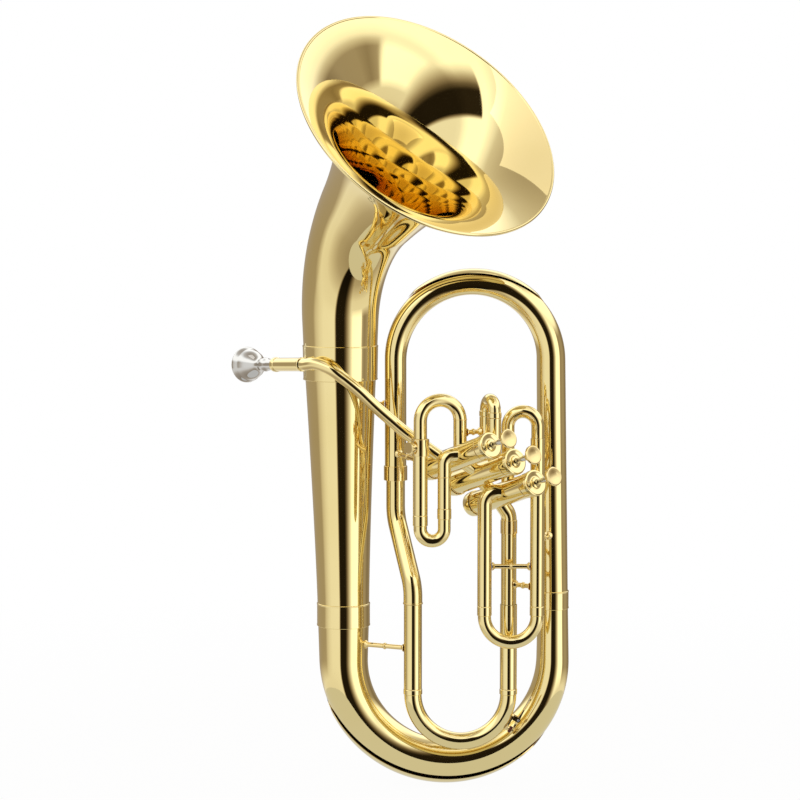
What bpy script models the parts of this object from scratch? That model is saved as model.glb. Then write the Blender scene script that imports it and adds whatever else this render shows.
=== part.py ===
"""Bell-front baritone horn with three front-action piston valves.

Metres, +Z up. The origin is the lowest point of the bottom bow's guard. The large
tubing lies in the plane Y = 0, the player stands on the +Y side, and the bell and
the valves point forward, to -Y and +X.
"""
import math

import bmesh
import bpy
from mathutils import Matrix, Vector

MM = 0.001

# Clearances
JOINT_GAP = 0.3 * MM
SLIDE_CLEARANCE = 0.35 * MM

# Large tubing: radii are of the outside of the tube
MAIN_WALL = 1.0 * MM
BOW_RADIUS = 110 * MM
BOW_R_RIGHT = 17.0 * MM
BOW_R_BOTTOM = 22.0 * MM
BOW_R_LEFT = 25.6 * MM
GUARD_THICKNESS = 0.8 * MM
GUARD_CLEARANCE = 0.7 * MM
FERRULE_THICKNESS = 0.9 * MM
LEFT_JOINT_Z = 180 * MM
LEFT_FERRULE_HEIGHT = 24 * MM
RIGHT_JOINT_Z = 195.5 * MM
RIGHT_FERRULE_HEIGHT = 19 * MM
BRANCH_R_BASE = 27.0 * MM
BRANCH_R_TOP = 37.6 * MM
BRANCH_TAPER_POWER = 1.3
BRANCH_LEAN_X = 2.7 * MM
BELL_JOINT_Z = 445 * MM
BELL_FERRULE_HEIGHT = 36 * MM

# Bell: a stem, a bend forward and a straight flare
FORWARD_TURN = math.radians(35)
BELL_RISE = math.radians(39.6)
BELL_STEM_LENGTH = 45 * MM
BELL_BEND_RADIUS = 150 * MM
BELL_FLARE_LENGTH = 132.5 * MM
BELL_RIM_RADIUS = 140 * MM
BELL_THROAT_RADIUS = 30.7 * MM
BELL_FLARE_SCALE = 85 * MM
BELL_FLARE_POWER = 1.76
BELL_WALL = 1.0 * MM

# Top bow and right branch
TOP_BOW_RADIUS = 81 * MM
TOP_BOW_CENTRE_Z = 447.5 * MM
TOP_LEG_RIGHT_X = 106.8 * MM
TOP_R_LEFT = 11.25 * MM
TOP_R_CROWN = 13.0 * MM
TOP_R_RIGHT = 15.0 * MM
TOP_R_END = 15.8 * MM
TOP_LEFT_JOINT_Z = 329 * MM

# S-branch and tuning slide, in a plane in front of the large tubing
TUNING_PLANE_Y = -35 * MM
TUNING_LEFT_X = -37.2 * MM
TUNING_RIGHT_X = 62.0 * MM
TUNING_LEG_TOP_Z = 196 * MM
TUNING_MOUTH_Z = 107.5 * MM
TUNING_BOW_CENTRE_Z = 101.5 * MM
TUNING_R_LEFT = 9.4 * MM
TUNING_R_RIGHT = 8.8 * MM
TUNING_INSERT = 80 * MM
TUNING_FERRULE_LENGTH = 15 * MM
S_BRANCH_R = 9.8 * MM
S_UPPER_BEND_Z = 284 * MM
S_LOWER_BEND_Z = 214 * MM
S_FERRULE_HEIGHT = 15 * MM
SLIDE_WALL = 0.6 * MM
FERRULE_STEP = 0.6 * MM

# Water key on the right shoulder of the tuning bow; heights are from the tube's surface
WATER_KEY_ANGLE = math.radians(-30)
KEY_PLATE_LENGTH = 19 * MM
KEY_PLATE_THICKNESS = 1.2 * MM
KEY_NIPPLE_PLACE = -6.5 * MM
KEY_NIPPLE_RADIUS = 2.6 * MM
KEY_NIPPLE_BORE = 1.3 * MM
KEY_NIPPLE_HEIGHT = 3.0 * MM
KEY_CORK_RADIUS = 3.6 * MM
KEY_CORK_HEIGHT = 2.3 * MM
KEY_PIVOT_PLACE = 6.5 * MM
KEY_PIVOT_HEIGHT = 6.8 * MM
KEY_PIN_RADIUS = 0.8 * MM
KEY_BARREL_RADIUS = 1.8 * MM
KEY_CHEEK_THICKNESS = 1.0 * MM
KEY_CHEEK_LENGTH = 4.4 * MM
KEY_CHEEK_HEIGHT = 8.8 * MM
KEY_LEVER_WIDTH = 4.6 * MM
KEY_LEVER_THICKNESS = 1.8 * MM
KEY_LEVER_REACH = 35 * MM

# Valves: t runs along a valve from the outside of its bottom cap to its top cap
VALVE_AXIS = Vector((0.577, -0.758, 0.305)).normalized()
VALVE_FEET = (
    Vector((-22.6, -24.0, 335.8)) * MM,
    Vector((2.6, -11.6, 318.0)) * MM,
    Vector((23.6, -5.0, 295.7)) * MM,
)
VALVE_LENGTH = 110 * MM
CASING_RADIUS = 12.25 * MM
CASING_WALL = 1.0 * MM
CAP_RADIUS = 13.5 * MM
CAP_DEPTH = 12 * MM
CAP_THICKNESS = 2.2 * MM
STEM_RADIUS = 2.8 * MM
BUTTON_RADIUS = 9.8 * MM
BUTTON_THICKNESS = 5.0 * MM
BUTTON_REACH = 30 * MM
PISTON_FOOT_T = 28 * MM
PISTON_SHOULDER_T = 90 * MM
PISTON_TOP_T = 103 * MM
PISTON_BARREL_RADIUS = 7.5 * MM
PORT_RADIUS = 5.5 * MM
SPRING_RADIUS = 8.4 * MM
SPRING_WIRE_RADIUS = 0.6 * MM
SPRING_TURNS = 5.5
KNUCKLE_RADIUS = 6.9 * MM
KNUCKLE_1_2_T = 52 * MM
KNUCKLE_2_3_T = 44 * MM

# Leadpipe, receiver and mouthpiece
LEADPIPE_R = 6.2 * MM
LEADPIPE_WALL = 0.7 * MM
LEADPIPE_STUB = 5 * MM
LEADPIPE_ENTRY_T = 35 * MM
RECEIVER_MOUTH = Vector((-181.7, 15.0, 441.5)) * MM
RECEIVER_AXIS = Vector((0.578, -0.814, 0.060)).normalized()
RECEIVER_LENGTH = 52.8 * MM
RECEIVER_RADIUS = 7.3 * MM
RECEIVER_INSERT = 25 * MM
SHANK_R_TIP = 4.8 * MM
SHANK_R_MOUTH = 5.4 * MM
MOUTHPIECE_REACH = 58 * MM
MOUTHPIECE_RIM_RADIUS = 19 * MM
LEADPIPE_ROUTE = (
    Vector((-136.8, -42.2, 446.4)) * MM,
    Vector((-122.2, -49.5, 441.5)) * MM,
    Vector((-107.9, -50.5, 431.5)) * MM,
    Vector((-92.5, -50.5, 419.0)) * MM,
    Vector((-76.7, -50.0, 403.9)) * MM,
    Vector((-59.8, -49.0, 388.9)) * MM,
    Vector((-42.4, -48.5, 374.2)) * MM,
    Vector((-22.4, -49.5, 360.4)) * MM,
)

# First valve loop
FIRST_ENTRY_T = 57.4 * MM
FIRST_RETURN_T = 70 * MM
FIRST_LEFT = Vector((-30.0, -79.0, 0.0)) * MM
FIRST_RIGHT = Vector((-5.6, -79.0, 0.0)) * MM
FIRST_LOOP_R = 6.8 * MM
FIRST_LEG_R = 7.5 * MM
FIRST_BOW_CENTRE_Z = 390.5 * MM
FIRST_LEG_TOP_Z = 373 * MM
FIRST_LEFT_MOUTH_Z = 295 * MM
FIRST_RIGHT_MOUTH_Z = 302 * MM
FIRST_ELBOW_Z = 356.5 * MM
FIRST_CROOK_CENTRE_Z = 280.6 * MM
FIRST_INSERT_LEFT = 35 * MM
FIRST_INSERT_RIGHT = 30 * MM
FIRST_CROOK_RADII = (6.9 * MM, 6.5 * MM)
FIRST_FERRULE_LENGTH = 11 * MM

# Second valve loop, which stands up out of its casing
SECOND_BACK = Vector((37.65, -52.5, 0.0)) * MM
SECOND_FRONT = Vector((45.35, -72.9, 0.0)) * MM
SECOND_BACK_FOOT_Z = 336 * MM
SECOND_FRONT_FOOT_Z = 342 * MM
SECOND_LEG_R = 6.9 * MM
SECOND_MOUTH_Z = 393 * MM
SECOND_CROOK_CENTRE_Z = 400 * MM
SECOND_INSERT = 28 * MM
SECOND_CROOK_R = 6.5 * MM
SECOND_FERRULE_LENGTH = 6 * MM

# Third valve loop
THIRD_ENTRY_T = 63 * MM
THIRD_RETURN_T = 68 * MM
THIRD_LEFT = Vector((36.2, -57.0, 0.0)) * MM
THIRD_RIGHT = Vector((90.3, -57.0, 0.0)) * MM
THIRD_LOOP_R = 6.7 * MM
THIRD_LEG_R = 7.4 * MM
THIRD_BOW_CENTRE_Z = 383 * MM
THIRD_LEG_TOP_Z = 371 * MM
THIRD_MOUTH_Z = 198 * MM
THIRD_ELBOW_Z = 317.5 * MM
THIRD_CROOK_CENTRE_Z = 187 * MM
THIRD_INSERT = 85 * MM
THIRD_CROOK_R = 6.8 * MM
THIRD_FERRULE_LENGTH = 15 * MM

# Exit tube
EXIT_T = 44 * MM
EXIT_R = 8.0 * MM
EXIT_BEND_Z = 290 * MM

# Braces
ROD_RADIUS = 2.6 * MM
FLANGE_RADIUS = 4.2 * MM
FLANGE_THICKNESS = 1.6 * MM
BELL_BRACE_Z = 401.3 * MM
TUNING_BRACE_Z = 149.5 * MM
LOOP_BRACE_Z = 378 * MM
FIRST_BRACE_Z = 350 * MM
THIRD_BRACE_Z = 239 * MM
EXIT_BRACE_Z = 217.5 * MM
BRANCH_BRACE_Z = 265 * MM
LEADPIPE_BRACE_Z = 433 * MM
LEADPIPE_BRACE_REACH_Y = -44.2 * MM

# Lyre holder on the first outer leg
LYRE_Z = 364 * MM
LYRE_SLEEVE_HEIGHT = 17 * MM
LYRE_SLEEVE_R = 9.1 * MM
LYRE_DIRECTION = Vector((-0.77, -0.64, 0.0)).normalized()
LYRE_BOSS_REACH = 13 * MM
LYRE_BOSS_R = 4.0 * MM
LYRE_SCREW_R = 1.7 * MM
LYRE_KNOB_R = 6.8 * MM
LYRE_KNOB_THICKNESS = 2.6 * MM

# Facets
BELL_SIDES = 24
MAIN_SIDES = 16
SLIDE_SIDES = 12
TURN_SIDES = 16
ROD_SIDES = 10

BELL_COLLECTION_NAME = "bell_front_baritone_horn"
CUTTER_COLLECTION_NAME = "cutters"

for old in list(bpy.data.objects):
    bpy.data.objects.remove(old, do_unlink=True)

horn = bpy.data.collections.new(BELL_COLLECTION_NAME)
cutters = bpy.data.collections.new(CUTTER_COLLECTION_NAME)
bpy.context.scene.collection.children.link(horn)
bpy.context.scene.collection.children.link(cutters)


def metal(name, colour, roughness):
    """A metal with a Principled BSDF."""
    material = bpy.data.materials.new(name)
    material.use_nodes = True
    shader = material.node_tree.nodes["Principled BSDF"]
    shader.inputs["Base Color"].default_value = (*colour, 1.0)
    shader.inputs["Metallic"].default_value = 1.0
    shader.inputs["Roughness"].default_value = roughness
    return material


LACQUERED_BRASS = metal("lacquered_brass", (0.76, 0.58, 0.23), 0.12)
SILVER_PLATE = metal("silver_plate", (0.83, 0.83, 0.82), 0.10)
SPRING_STEEL = metal("spring_steel", (0.55, 0.55, 0.57), 0.30)
NICKEL_PISTON = metal("nickel_plated_piston", (0.70, 0.69, 0.66), 0.18)
CORK = metal("cork", (0.42, 0.20, 0.12), 0.80)
CORK.node_tree.nodes["Principled BSDF"].inputs["Metallic"].default_value = 0.0


# Working with objects


def add(name, mesh, material, collection=horn):
    """Puts a mesh in the scene as a named object."""
    item = bpy.data.objects.new(name, mesh)
    collection.objects.link(item)
    if material:
        mesh.materials.append(material)
    return item


def smooth(item):
    item.data.shade_smooth()
    item.data.set_sharp_from_angle(angle=math.radians(40))


def evaluated_mesh(item):
    """The mesh of an object with its modifiers, or of a curve."""
    bpy.context.view_layer.update()
    graph = bpy.context.evaluated_depsgraph_get()
    return bpy.data.meshes.new_from_object(item.evaluated_get(graph))


def turn_to(item, position, direction):
    """Stands an object's +Z along a direction at a position."""
    item.location = position
    item.rotation_mode = "QUATERNION"
    item.rotation_quaternion = Vector(direction).to_track_quat("Z", "Y")


def turned(name, profile, material, position=(0, 0, 0), direction=(0, 0, 1),
           sides=TURN_SIDES, closed=False, collection=horn):
    """A profile of (radius, height) pairs, turned about its local Z axis."""
    mesh = bpy.data.meshes.new(name)
    points = [(radius, 0.0, height) for radius, height in profile]
    edges = [(i, i + 1) for i in range(len(points) - 1)]
    if closed:
        edges.append((len(points) - 1, 0))
    mesh.from_pydata(points, edges, [])
    item = add(name, mesh, material, collection)
    screw = item.modifiers.new("turn", "SCREW")
    screw.steps = sides
    screw.render_steps = sides
    screw.use_merge_vertices = True
    screw.merge_threshold = 0.00001
    screw.use_smooth_shade = True
    turn_to(item, position, direction)
    return item


def sleeve_profile(outer, inner, low, high):
    """A closed profile of a ring, down its outside and up its bore."""
    return [(outer, high), (outer, low), (inner, low), (inner, high)]


def cylinder_cutter(name, start, end, radius, sides=TURN_SIDES):
    """A closed cylinder between two points, for Boolean cuts."""
    length = (Vector(end) - Vector(start)).length
    item = turned(name, [(0, length), (radius, length), (radius, 0), (0, 0)], None,
                  start, Vector(end) - Vector(start), sides, collection=cutters)
    item.hide_render = True
    item.display_type = "WIRE"
    return item


def boolean(item, other, operation="DIFFERENCE"):
    step = item.modifiers.new(operation.lower(), "BOOLEAN")
    step.object = other
    step.operation = operation
    step.solver = "EXACT"


def parent_to(child, holder):
    """Parents without moving the child."""
    bpy.context.view_layer.update()
    child.parent = holder
    child.matrix_parent_inverse = holder.matrix_world.inverted()


def axis_empty(name, position, direction):
    """An empty on a joint's axis, which carries the pieces that move on it."""
    item = bpy.data.objects.new(name, None)
    horn.objects.link(item)
    turn_to(item, position, direction)
    return item


# Routes of tubes


def arc(centre, start, normal, angle, count):
    """Points on an arc about a centre, from a start point, without that point."""
    spoke = Vector(start) - Vector(centre)
    return [
        Vector(centre) + Matrix.Rotation(angle * k / count, 3, normal) @ spoke
        for k in range(1, count + 1)
    ]


def rounded(corners, radius, count=5):
    """A route through corners, with an arc of one radius at each inner corner."""
    route = [Vector(corners[0])]
    for before, corner, after in zip(corners, corners[1:], corners[2:]):
        into = (Vector(corner) - Vector(before)).normalized()
        out = (Vector(after) - Vector(corner)).normalized()
        angle = into.angle(out)
        setback = radius * math.tan(angle / 2)
        start = Vector(corner) - into * setback
        centre = start + (out - into * into.dot(out)).normalized() * radius
        route.append(start)
        route += arc(centre, start, into.cross(out).normalized(), angle, count)
    route.append(Vector(corners[-1]))
    return route


def flowing(points, count=3):
    """A smooth curve through hand-chosen points."""
    route = []
    ends = [2 * points[0] - points[1], *points, 2 * points[-1] - points[-2]]
    for a, b, c, d in zip(ends, ends[1:], ends[2:], ends[3:]):
        for k in range(count):
            u = k / count
            route.append(0.5 * (2 * b + (c - a) * u + (2 * a - 5 * b + 4 * c - d) * u ** 2
                                + (3 * b - a - 3 * c + d) * u ** 3))
    return [*route, points[-1]]


def bow(start, end, centre_z, down, count=12):
    """A half-turn between two vertical legs, from start to end."""
    middle = (Vector(start) + Vector(end)) / 2
    reach = (Vector(start) - Vector(end)).length / 2
    side = (Vector(start) - Vector(end)).normalized()
    height = -reach if down else reach
    points = []
    for k in range(count + 1):
        angle = math.pi * k / count
        spot = middle + side * reach * math.cos(angle)
        spot.z = centre_z + height * math.sin(angle)
        points.append(spot)
    return points


def lengths(route):
    """Distance along a route at each of its points."""
    run = [0.0]
    for a, b in zip(route, route[1:]):
        run.append(run[-1] + (b - a).length)
    return run


def split(route, places):
    """Adds points to a route at given distances along it."""
    run = lengths(route)
    marks = [(distance, point) for distance, point in zip(run, route)]
    for place in places:
        for (s0, a), (s1, b) in zip(zip(run, route), zip(run[1:], route[1:])):
            if s0 + 1e-6 < place < s1 - 1e-6:
                marks.append((place, a.lerp(b, (place - s0) / (s1 - s0))))
    return [point for distance, point in sorted(marks, key=lambda mark: mark[0])]


def curve_of(name, route, radii, sides, capped):
    """A straight-segment curve with a round bevel and a radius at each point."""
    data = bpy.data.curves.new(name, "CURVE")
    data.dimensions = "3D"
    data.bevel_depth = 1.0
    data.bevel_resolution = (sides - 4) // 2
    data.use_fill_caps = capped
    spline = data.splines.new("POLY")
    spline.points.add(len(route) - 1)
    for point, place, radius in zip(spline.points, route, radii):
        point.co = (*place, 1.0)
        point.radius = radius
    item = bpy.data.objects.new(name, data)
    horn.objects.link(item)
    return item


def mesh_from_curve(item, name, material):
    """Turns a curve into a welded mesh object."""
    mesh = evaluated_mesh(item)
    mesh.name = name
    mesh.materials.clear()
    shape = bmesh.new()
    shape.from_mesh(mesh)
    bmesh.ops.remove_doubles(shape, verts=shape.verts, dist=0.00001)
    bmesh.ops.recalc_face_normals(shape, faces=shape.faces)
    shape.to_mesh(mesh)
    shape.free()
    bpy.data.objects.remove(item, do_unlink=True)
    result = add(name, mesh, material)
    smooth(result)
    return result


def tube(name, route, radii, wall, material=LACQUERED_BRASS, sides=SLIDE_SIDES):
    """A hollow tube: an open skin along a route, given its wall inwards."""
    if not isinstance(radii, list):
        radii = [radii] * len(route)
    skin = mesh_from_curve(curve_of(name + "_path", route, radii, sides, False), name, material)
    outward = skin.data.polygons[0].normal.dot(
        skin.data.polygons[0].center - (route[0] + route[1]) / 2)
    shell = skin.modifiers.new("wall", "SOLIDIFY")
    shell.thickness = wall
    shell.offset = -1.0 if outward > 0 else 1.0
    return skin


def rod(name, route, radii, material=LACQUERED_BRASS, sides=ROD_SIDES):
    """A solid rod with flat ends."""
    if not isinstance(radii, list):
        radii = [radii] * len(route)
    return mesh_from_curve(curve_of(name + "_path", route, radii, sides, True), name, material)


# Large tubing

BOW_CENTRE_Z = BOW_RADIUS + BOW_R_BOTTOM + GUARD_CLEARANCE + GUARD_THICKNESS
LEG_LEFT_X = -BOW_RADIUS
LEG_RIGHT_X = BOW_RADIUS
BELL_STEM_X = LEG_LEFT_X - BRANCH_LEAN_X


def bow_radius_at(angle):
    """Outside radius of the bottom bow; the angle runs from the right leg to the left."""
    half = math.pi / 2
    if angle < half:
        return BOW_R_RIGHT + (BOW_R_BOTTOM - BOW_R_RIGHT) * angle / half
    return BOW_R_BOTTOM + (BOW_R_LEFT - BOW_R_BOTTOM) * (angle - half) / half


def make_bottom_bow():
    count = 12
    steps = bow(Vector((LEG_RIGHT_X, 0, 0)), Vector((LEG_LEFT_X, 0, 0)), BOW_CENTRE_Z, True, count)
    route = [
        Vector((LEG_RIGHT_X, 0, RIGHT_JOINT_Z)), *steps,
        Vector((LEG_LEFT_X, 0, LEFT_JOINT_Z)),
    ]
    radii = [TOP_R_END, *[bow_radius_at(math.pi * k / count) for k in range(count + 1)],
             BRANCH_R_BASE]
    tube("bottom_bow", route, radii, MAIN_WALL, sides=MAIN_SIDES)


def branch_radius(u):
    return BRANCH_R_BASE + (BRANCH_R_TOP - BRANCH_R_BASE) * u ** BRANCH_TAPER_POWER


def make_bell_branch():
    low = Vector((LEG_LEFT_X, 0, LEFT_JOINT_Z + 2 * JOINT_GAP))
    high = Vector((BELL_STEM_X, 0, BELL_JOINT_Z - 2 * JOINT_GAP))
    count = 6
    route = [low.lerp(high, k / count) for k in range(count + 1)]
    radii = [branch_radius(k / count) for k in range(count + 1)]
    tube("bell_branch", route, radii, MAIN_WALL, sides=MAIN_SIDES)


def bell_radius(distance):
    """Outside radius of the bell at a distance from its rim along the centre line."""
    flare = (BELL_FLARE_SCALE / (distance + BELL_FLARE_SCALE)) ** BELL_FLARE_POWER
    return BELL_THROAT_RADIUS + (BELL_RIM_RADIUS - BELL_THROAT_RADIUS) * flare


FORWARD = Vector((math.sin(FORWARD_TURN), -math.cos(FORWARD_TURN), 0))
BELL_AXIS = FORWARD * math.cos(BELL_RISE) + Vector((0, 0, math.sin(BELL_RISE)))


def make_bell():
    foot = Vector((BELL_STEM_X, 0, BELL_JOINT_Z))
    bend_start = foot + Vector((0, 0, BELL_STEM_LENGTH))
    centre = bend_start + FORWARD * BELL_BEND_RADIUS
    bend = arc(centre, bend_start, Vector((0, 0, 1)).cross(FORWARD), math.pi / 2 - BELL_RISE, 7)
    flare_stations = (0.0, 0.2, 0.4, 0.58, 0.74, 0.86, 0.94, 0.985, 1.0)
    flare = [bend[-1] + BELL_AXIS * BELL_FLARE_LENGTH * k for k in flare_stations[1:]]
    route = [foot, bend_start, *bend, *flare]
    run = lengths(route)
    radii = [bell_radius(run[-1] - distance) for distance in run]
    tube("bell", route, radii, BELL_WALL, sides=BELL_SIDES)


def clear_bore(radius, sides=MAIN_SIDES):
    """Bore of a faceted ring whose flats clear a tube of this radius."""
    return (radius + JOINT_GAP) / math.cos(math.pi / sides)


def bell_radius_above_joint(height):
    bend = BELL_BEND_RADIUS * (math.pi / 2 - BELL_RISE)
    return bell_radius(BELL_FLARE_LENGTH + bend + BELL_STEM_LENGTH - height)


def branch_radius_at(height):
    return branch_radius((height - LEFT_JOINT_Z) / (BELL_JOINT_Z - LEFT_JOINT_Z))


def make_main_ferrules():
    half_bell = BELL_FERRULE_HEIGHT / 2
    half_left = LEFT_FERRULE_HEIGHT / 2
    half_right = RIGHT_FERRULE_HEIGHT / 2
    joint_radius = bell_radius_above_joint(0)
    below_left = BRANCH_R_BASE + (BOW_R_LEFT - BRANCH_R_BASE) * half_left / (
        LEFT_JOINT_Z - BOW_CENTRE_Z)
    below_right = TOP_R_END + (BOW_R_RIGHT - TOP_R_END) * half_right / (
        RIGHT_JOINT_Z - BOW_CENTRE_Z)
    rings = (
        ("bell_ferrule", Vector((BELL_STEM_X, 0, BELL_JOINT_Z)), half_bell,
         (bell_radius_above_joint(half_bell), joint_radius, joint_radius)),
        ("bow_ferrule_left", Vector((LEG_LEFT_X, 0, LEFT_JOINT_Z)), half_left,
         (branch_radius_at(LEFT_JOINT_Z + half_left), BRANCH_R_BASE, max(below_left, BRANCH_R_BASE))),
        ("bow_ferrule_right", Vector((LEG_RIGHT_X, 0, RIGHT_JOINT_Z)), half_right,
         (TOP_R_END, TOP_R_END, below_right)),
    )
    for name, middle, half, radii in rings:
        bore = [clear_bore(radius) for radius in radii]
        places = (half, 0, -half)
        outside = [(r + FERRULE_THICKNESS, z) for r, z in zip(bore, places)]
        inside = list(zip(bore, places))[::-1]
        turned(name, outside + inside, LACQUERED_BRASS, middle, sides=MAIN_SIDES, closed=True)


def make_top_bow():
    left_x = TOP_LEG_RIGHT_X - 2 * TOP_BOW_RADIUS
    crown = bow(Vector((left_x, 0, 0)), Vector((TOP_LEG_RIGHT_X, 0, 0)), TOP_BOW_CENTRE_Z, False, 12)
    route = [Vector((left_x, 0, TOP_LEFT_JOINT_Z + JOINT_GAP)), *crown,
             Vector((LEG_RIGHT_X, 0, RIGHT_JOINT_Z + 2 * JOINT_GAP))]
    half = len(crown) // 2
    radii = [TOP_R_LEFT]
    for k in range(len(crown)):
        if k <= half:
            radii.append(TOP_R_LEFT + (TOP_R_CROWN - TOP_R_LEFT) * k / half)
        else:
            radii.append(TOP_R_CROWN + (TOP_R_RIGHT - TOP_R_CROWN) * (k - half) / half)
    radii.append(TOP_R_END)
    tube("top_bow", route, radii, MAIN_WALL, sides=20)
    return left_x


def guard(name, centre_z, centre_x, bend_radius, tube_radius, start, stop, wrap, sense):
    """A plate on the outside of a bow, pointed at both ends.

    Angles are measured from the lowest (sense -1) or highest (sense 1) point of the bow.
    """
    along = 16
    around = 8
    mesh = bpy.data.meshes.new(name)
    verts = []
    faces = []
    for i in range(along + 1):
        u = i / along
        angle = start + (stop - start) * u
        width = wrap * max(0.22, math.sin(math.pi * u) ** 0.45)
        outward = Vector((math.sin(angle), 0, sense * math.cos(angle)))
        spine = Vector((centre_x, 0, centre_z)) + outward * bend_radius
        radius = tube_radius(angle) + GUARD_CLEARANCE
        for j in range(around + 1):
            turn = width * (2 * j / around - 1)
            verts.append(spine + outward * radius * math.cos(turn)
                         + Vector((0, radius * math.sin(turn), 0)))
    row = around + 1
    for i in range(along):
        for j in range(around):
            faces.append((i * row + j, i * row + j + 1, (i + 1) * row + j + 1, (i + 1) * row + j))
    mesh.from_pydata(verts, [], faces)
    item = add(name, mesh, LACQUERED_BRASS)
    smooth(item)
    shell = item.modifiers.new("thickness", "SOLIDIFY")
    shell.thickness = GUARD_THICKNESS
    middle = mesh.polygons[len(mesh.polygons) // 2]
    away = middle.center - Vector((centre_x, 0, centre_z))
    shell.offset = 1.0 if middle.normal.dot(away) > 0 else -1.0


# Tubes that meet a valve casing are cut to its round side


def valve_point(index, t):
    return VALVE_FEET[index] + VALVE_AXIS * t


CASING_CUTTERS = [
    cylinder_cutter(f"casing_space_{i + 1}", valve_point(i, CAP_DEPTH + JOINT_GAP),
                    valve_point(i, VALVE_LENGTH), CASING_RADIUS + JOINT_GAP)
    for i in range(3)
]


def fit_to_casing(item, index):
    boolean(item, CASING_CUTTERS[index])


def slide_path(left, right, left_mouth, right_mouth, centre_z, insert_left, insert_right,
               down=True, count=12):
    """Inner leg, crook and inner leg of a slide, with the distances of its two mouths."""
    sign = 1 if down else -1
    start = Vector((left.x, left.y, left_mouth + sign * insert_left))
    end = Vector((right.x, right.y, right_mouth + sign * insert_right))
    route = [start, *bow(Vector((left.x, left.y, 0)), Vector((right.x, right.y, 0)),
                         centre_z, down, count), end]
    return route


def make_slide(name, route, inserts, inner_radii, crook_radii, ferrule):
    """A slide: thin inner legs, a ferrule at each mouth and the crook between them."""
    total = lengths(route)[-1]
    left_mouth = inserts[0] + JOINT_GAP
    right_mouth = total - inserts[1] - JOINT_GAP
    places = [left_mouth - 0.1 * MM, left_mouth, left_mouth + ferrule,
              left_mouth + ferrule + 0.3 * MM,
              right_mouth - ferrule - 0.3 * MM, right_mouth - ferrule, right_mouth,
              right_mouth + 0.1 * MM]
    route = split(route, places)
    run = lengths(route)
    radii = []
    for distance in run:
        share = min(1.0, max(0.0, (distance - left_mouth) / (right_mouth - left_mouth)))
        crook = crook_radii[0] + (crook_radii[1] - crook_radii[0]) * share
        if distance < left_mouth - 1e-6:
            radii.append(inner_radii[0])
        elif distance > right_mouth + 1e-6:
            radii.append(inner_radii[1])
        elif distance < left_mouth + ferrule + 1e-6 or distance > right_mouth - ferrule - 1e-6:
            radii.append(crook + FERRULE_STEP)
        else:
            radii.append(crook)
    tube(name, route, radii, SLIDE_WALL)
    return bpy.data.objects[name]


def inner_radius(outer):
    """Outside radius of the inner leg that slides in an outer tube."""
    return outer - SLIDE_WALL - SLIDE_CLEARANCE


def make_s_branch(left_x):
    route = rounded([
        Vector((left_x, 0, TOP_LEFT_JOINT_Z - JOINT_GAP)),
        Vector((left_x, 0, S_UPPER_BEND_Z)),
        Vector((TUNING_LEFT_X, TUNING_PLANE_Y, S_LOWER_BEND_Z)),
        Vector((TUNING_LEFT_X, TUNING_PLANE_Y, TUNING_LEG_TOP_Z + JOINT_GAP)),
    ], 42 * MM, 3)
    branch = tube("s_branch", route, S_BRANCH_R, MAIN_WALL)
    bore = clear_bore(TOP_R_LEFT)
    ferrule = turned("s_branch_ferrule", [
        (bore + FERRULE_THICKNESS, S_FERRULE_HEIGHT / 2),
        (bore + FERRULE_THICKNESS, -S_FERRULE_HEIGHT / 2),
        (S_BRANCH_R - MAIN_WALL / 2, -S_FERRULE_HEIGHT / 2),
        (S_BRANCH_R - MAIN_WALL / 2, -1.5 * MM), (bore, -1.5 * MM),
        (bore, S_FERRULE_HEIGHT / 2),
    ], None, (left_x, 0, TOP_LEFT_JOINT_Z), closed=True, collection=cutters)
    boolean(branch, guide_object(ferrule), "UNION")


def make_tuning_section():
    left = Vector((TUNING_LEFT_X, TUNING_PLANE_Y, 0))
    right = Vector((TUNING_RIGHT_X, TUNING_PLANE_Y, 0))
    for name, place, radius in (("tuning_leg_left", left, TUNING_R_LEFT),
                                ("tuning_leg_right", right, TUNING_R_RIGHT)):
        turned(name, sleeve_profile(radius, radius - SLIDE_WALL, TUNING_MOUTH_Z, TUNING_LEG_TOP_Z),
               LACQUERED_BRASS, place, sides=SLIDE_SIDES, closed=True)
    route = slide_path(left, right, TUNING_MOUTH_Z, TUNING_MOUTH_Z, TUNING_BOW_CENTRE_Z,
                       TUNING_INSERT, TUNING_INSERT, count=8)
    slide = make_slide("tuning_slide", route, (TUNING_INSERT, TUNING_INSERT),
                       (inner_radius(TUNING_R_LEFT), inner_radius(TUNING_R_RIGHT)),
                       (TUNING_R_LEFT - 0.3 * MM, TUNING_R_RIGHT - 0.3 * MM),
                       TUNING_FERRULE_LENGTH)
    holder = axis_empty("tuning_slide_axis", left, (0, 0, -1))
    parent_to(slide, holder)
    return holder


def key_point(along, across, height):
    """A point by its place along, across and above the plate of the water key."""
    outward = Vector((math.cos(WATER_KEY_ANGLE), 0, math.sin(WATER_KEY_ANGLE)))
    tangent = Vector((-math.sin(WATER_KEY_ANGLE), 0, math.cos(WATER_KEY_ANGLE)))
    middle = Vector(((TUNING_LEFT_X + TUNING_RIGHT_X) / 2, TUNING_PLANE_Y, TUNING_BOW_CENTRE_Z))
    surface = (TUNING_RIGHT_X - TUNING_LEFT_X) / 2 + TUNING_R_RIGHT + JOINT_GAP
    return middle + outward * (surface + height) + tangent * along + Vector((0, across, 0))


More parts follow.
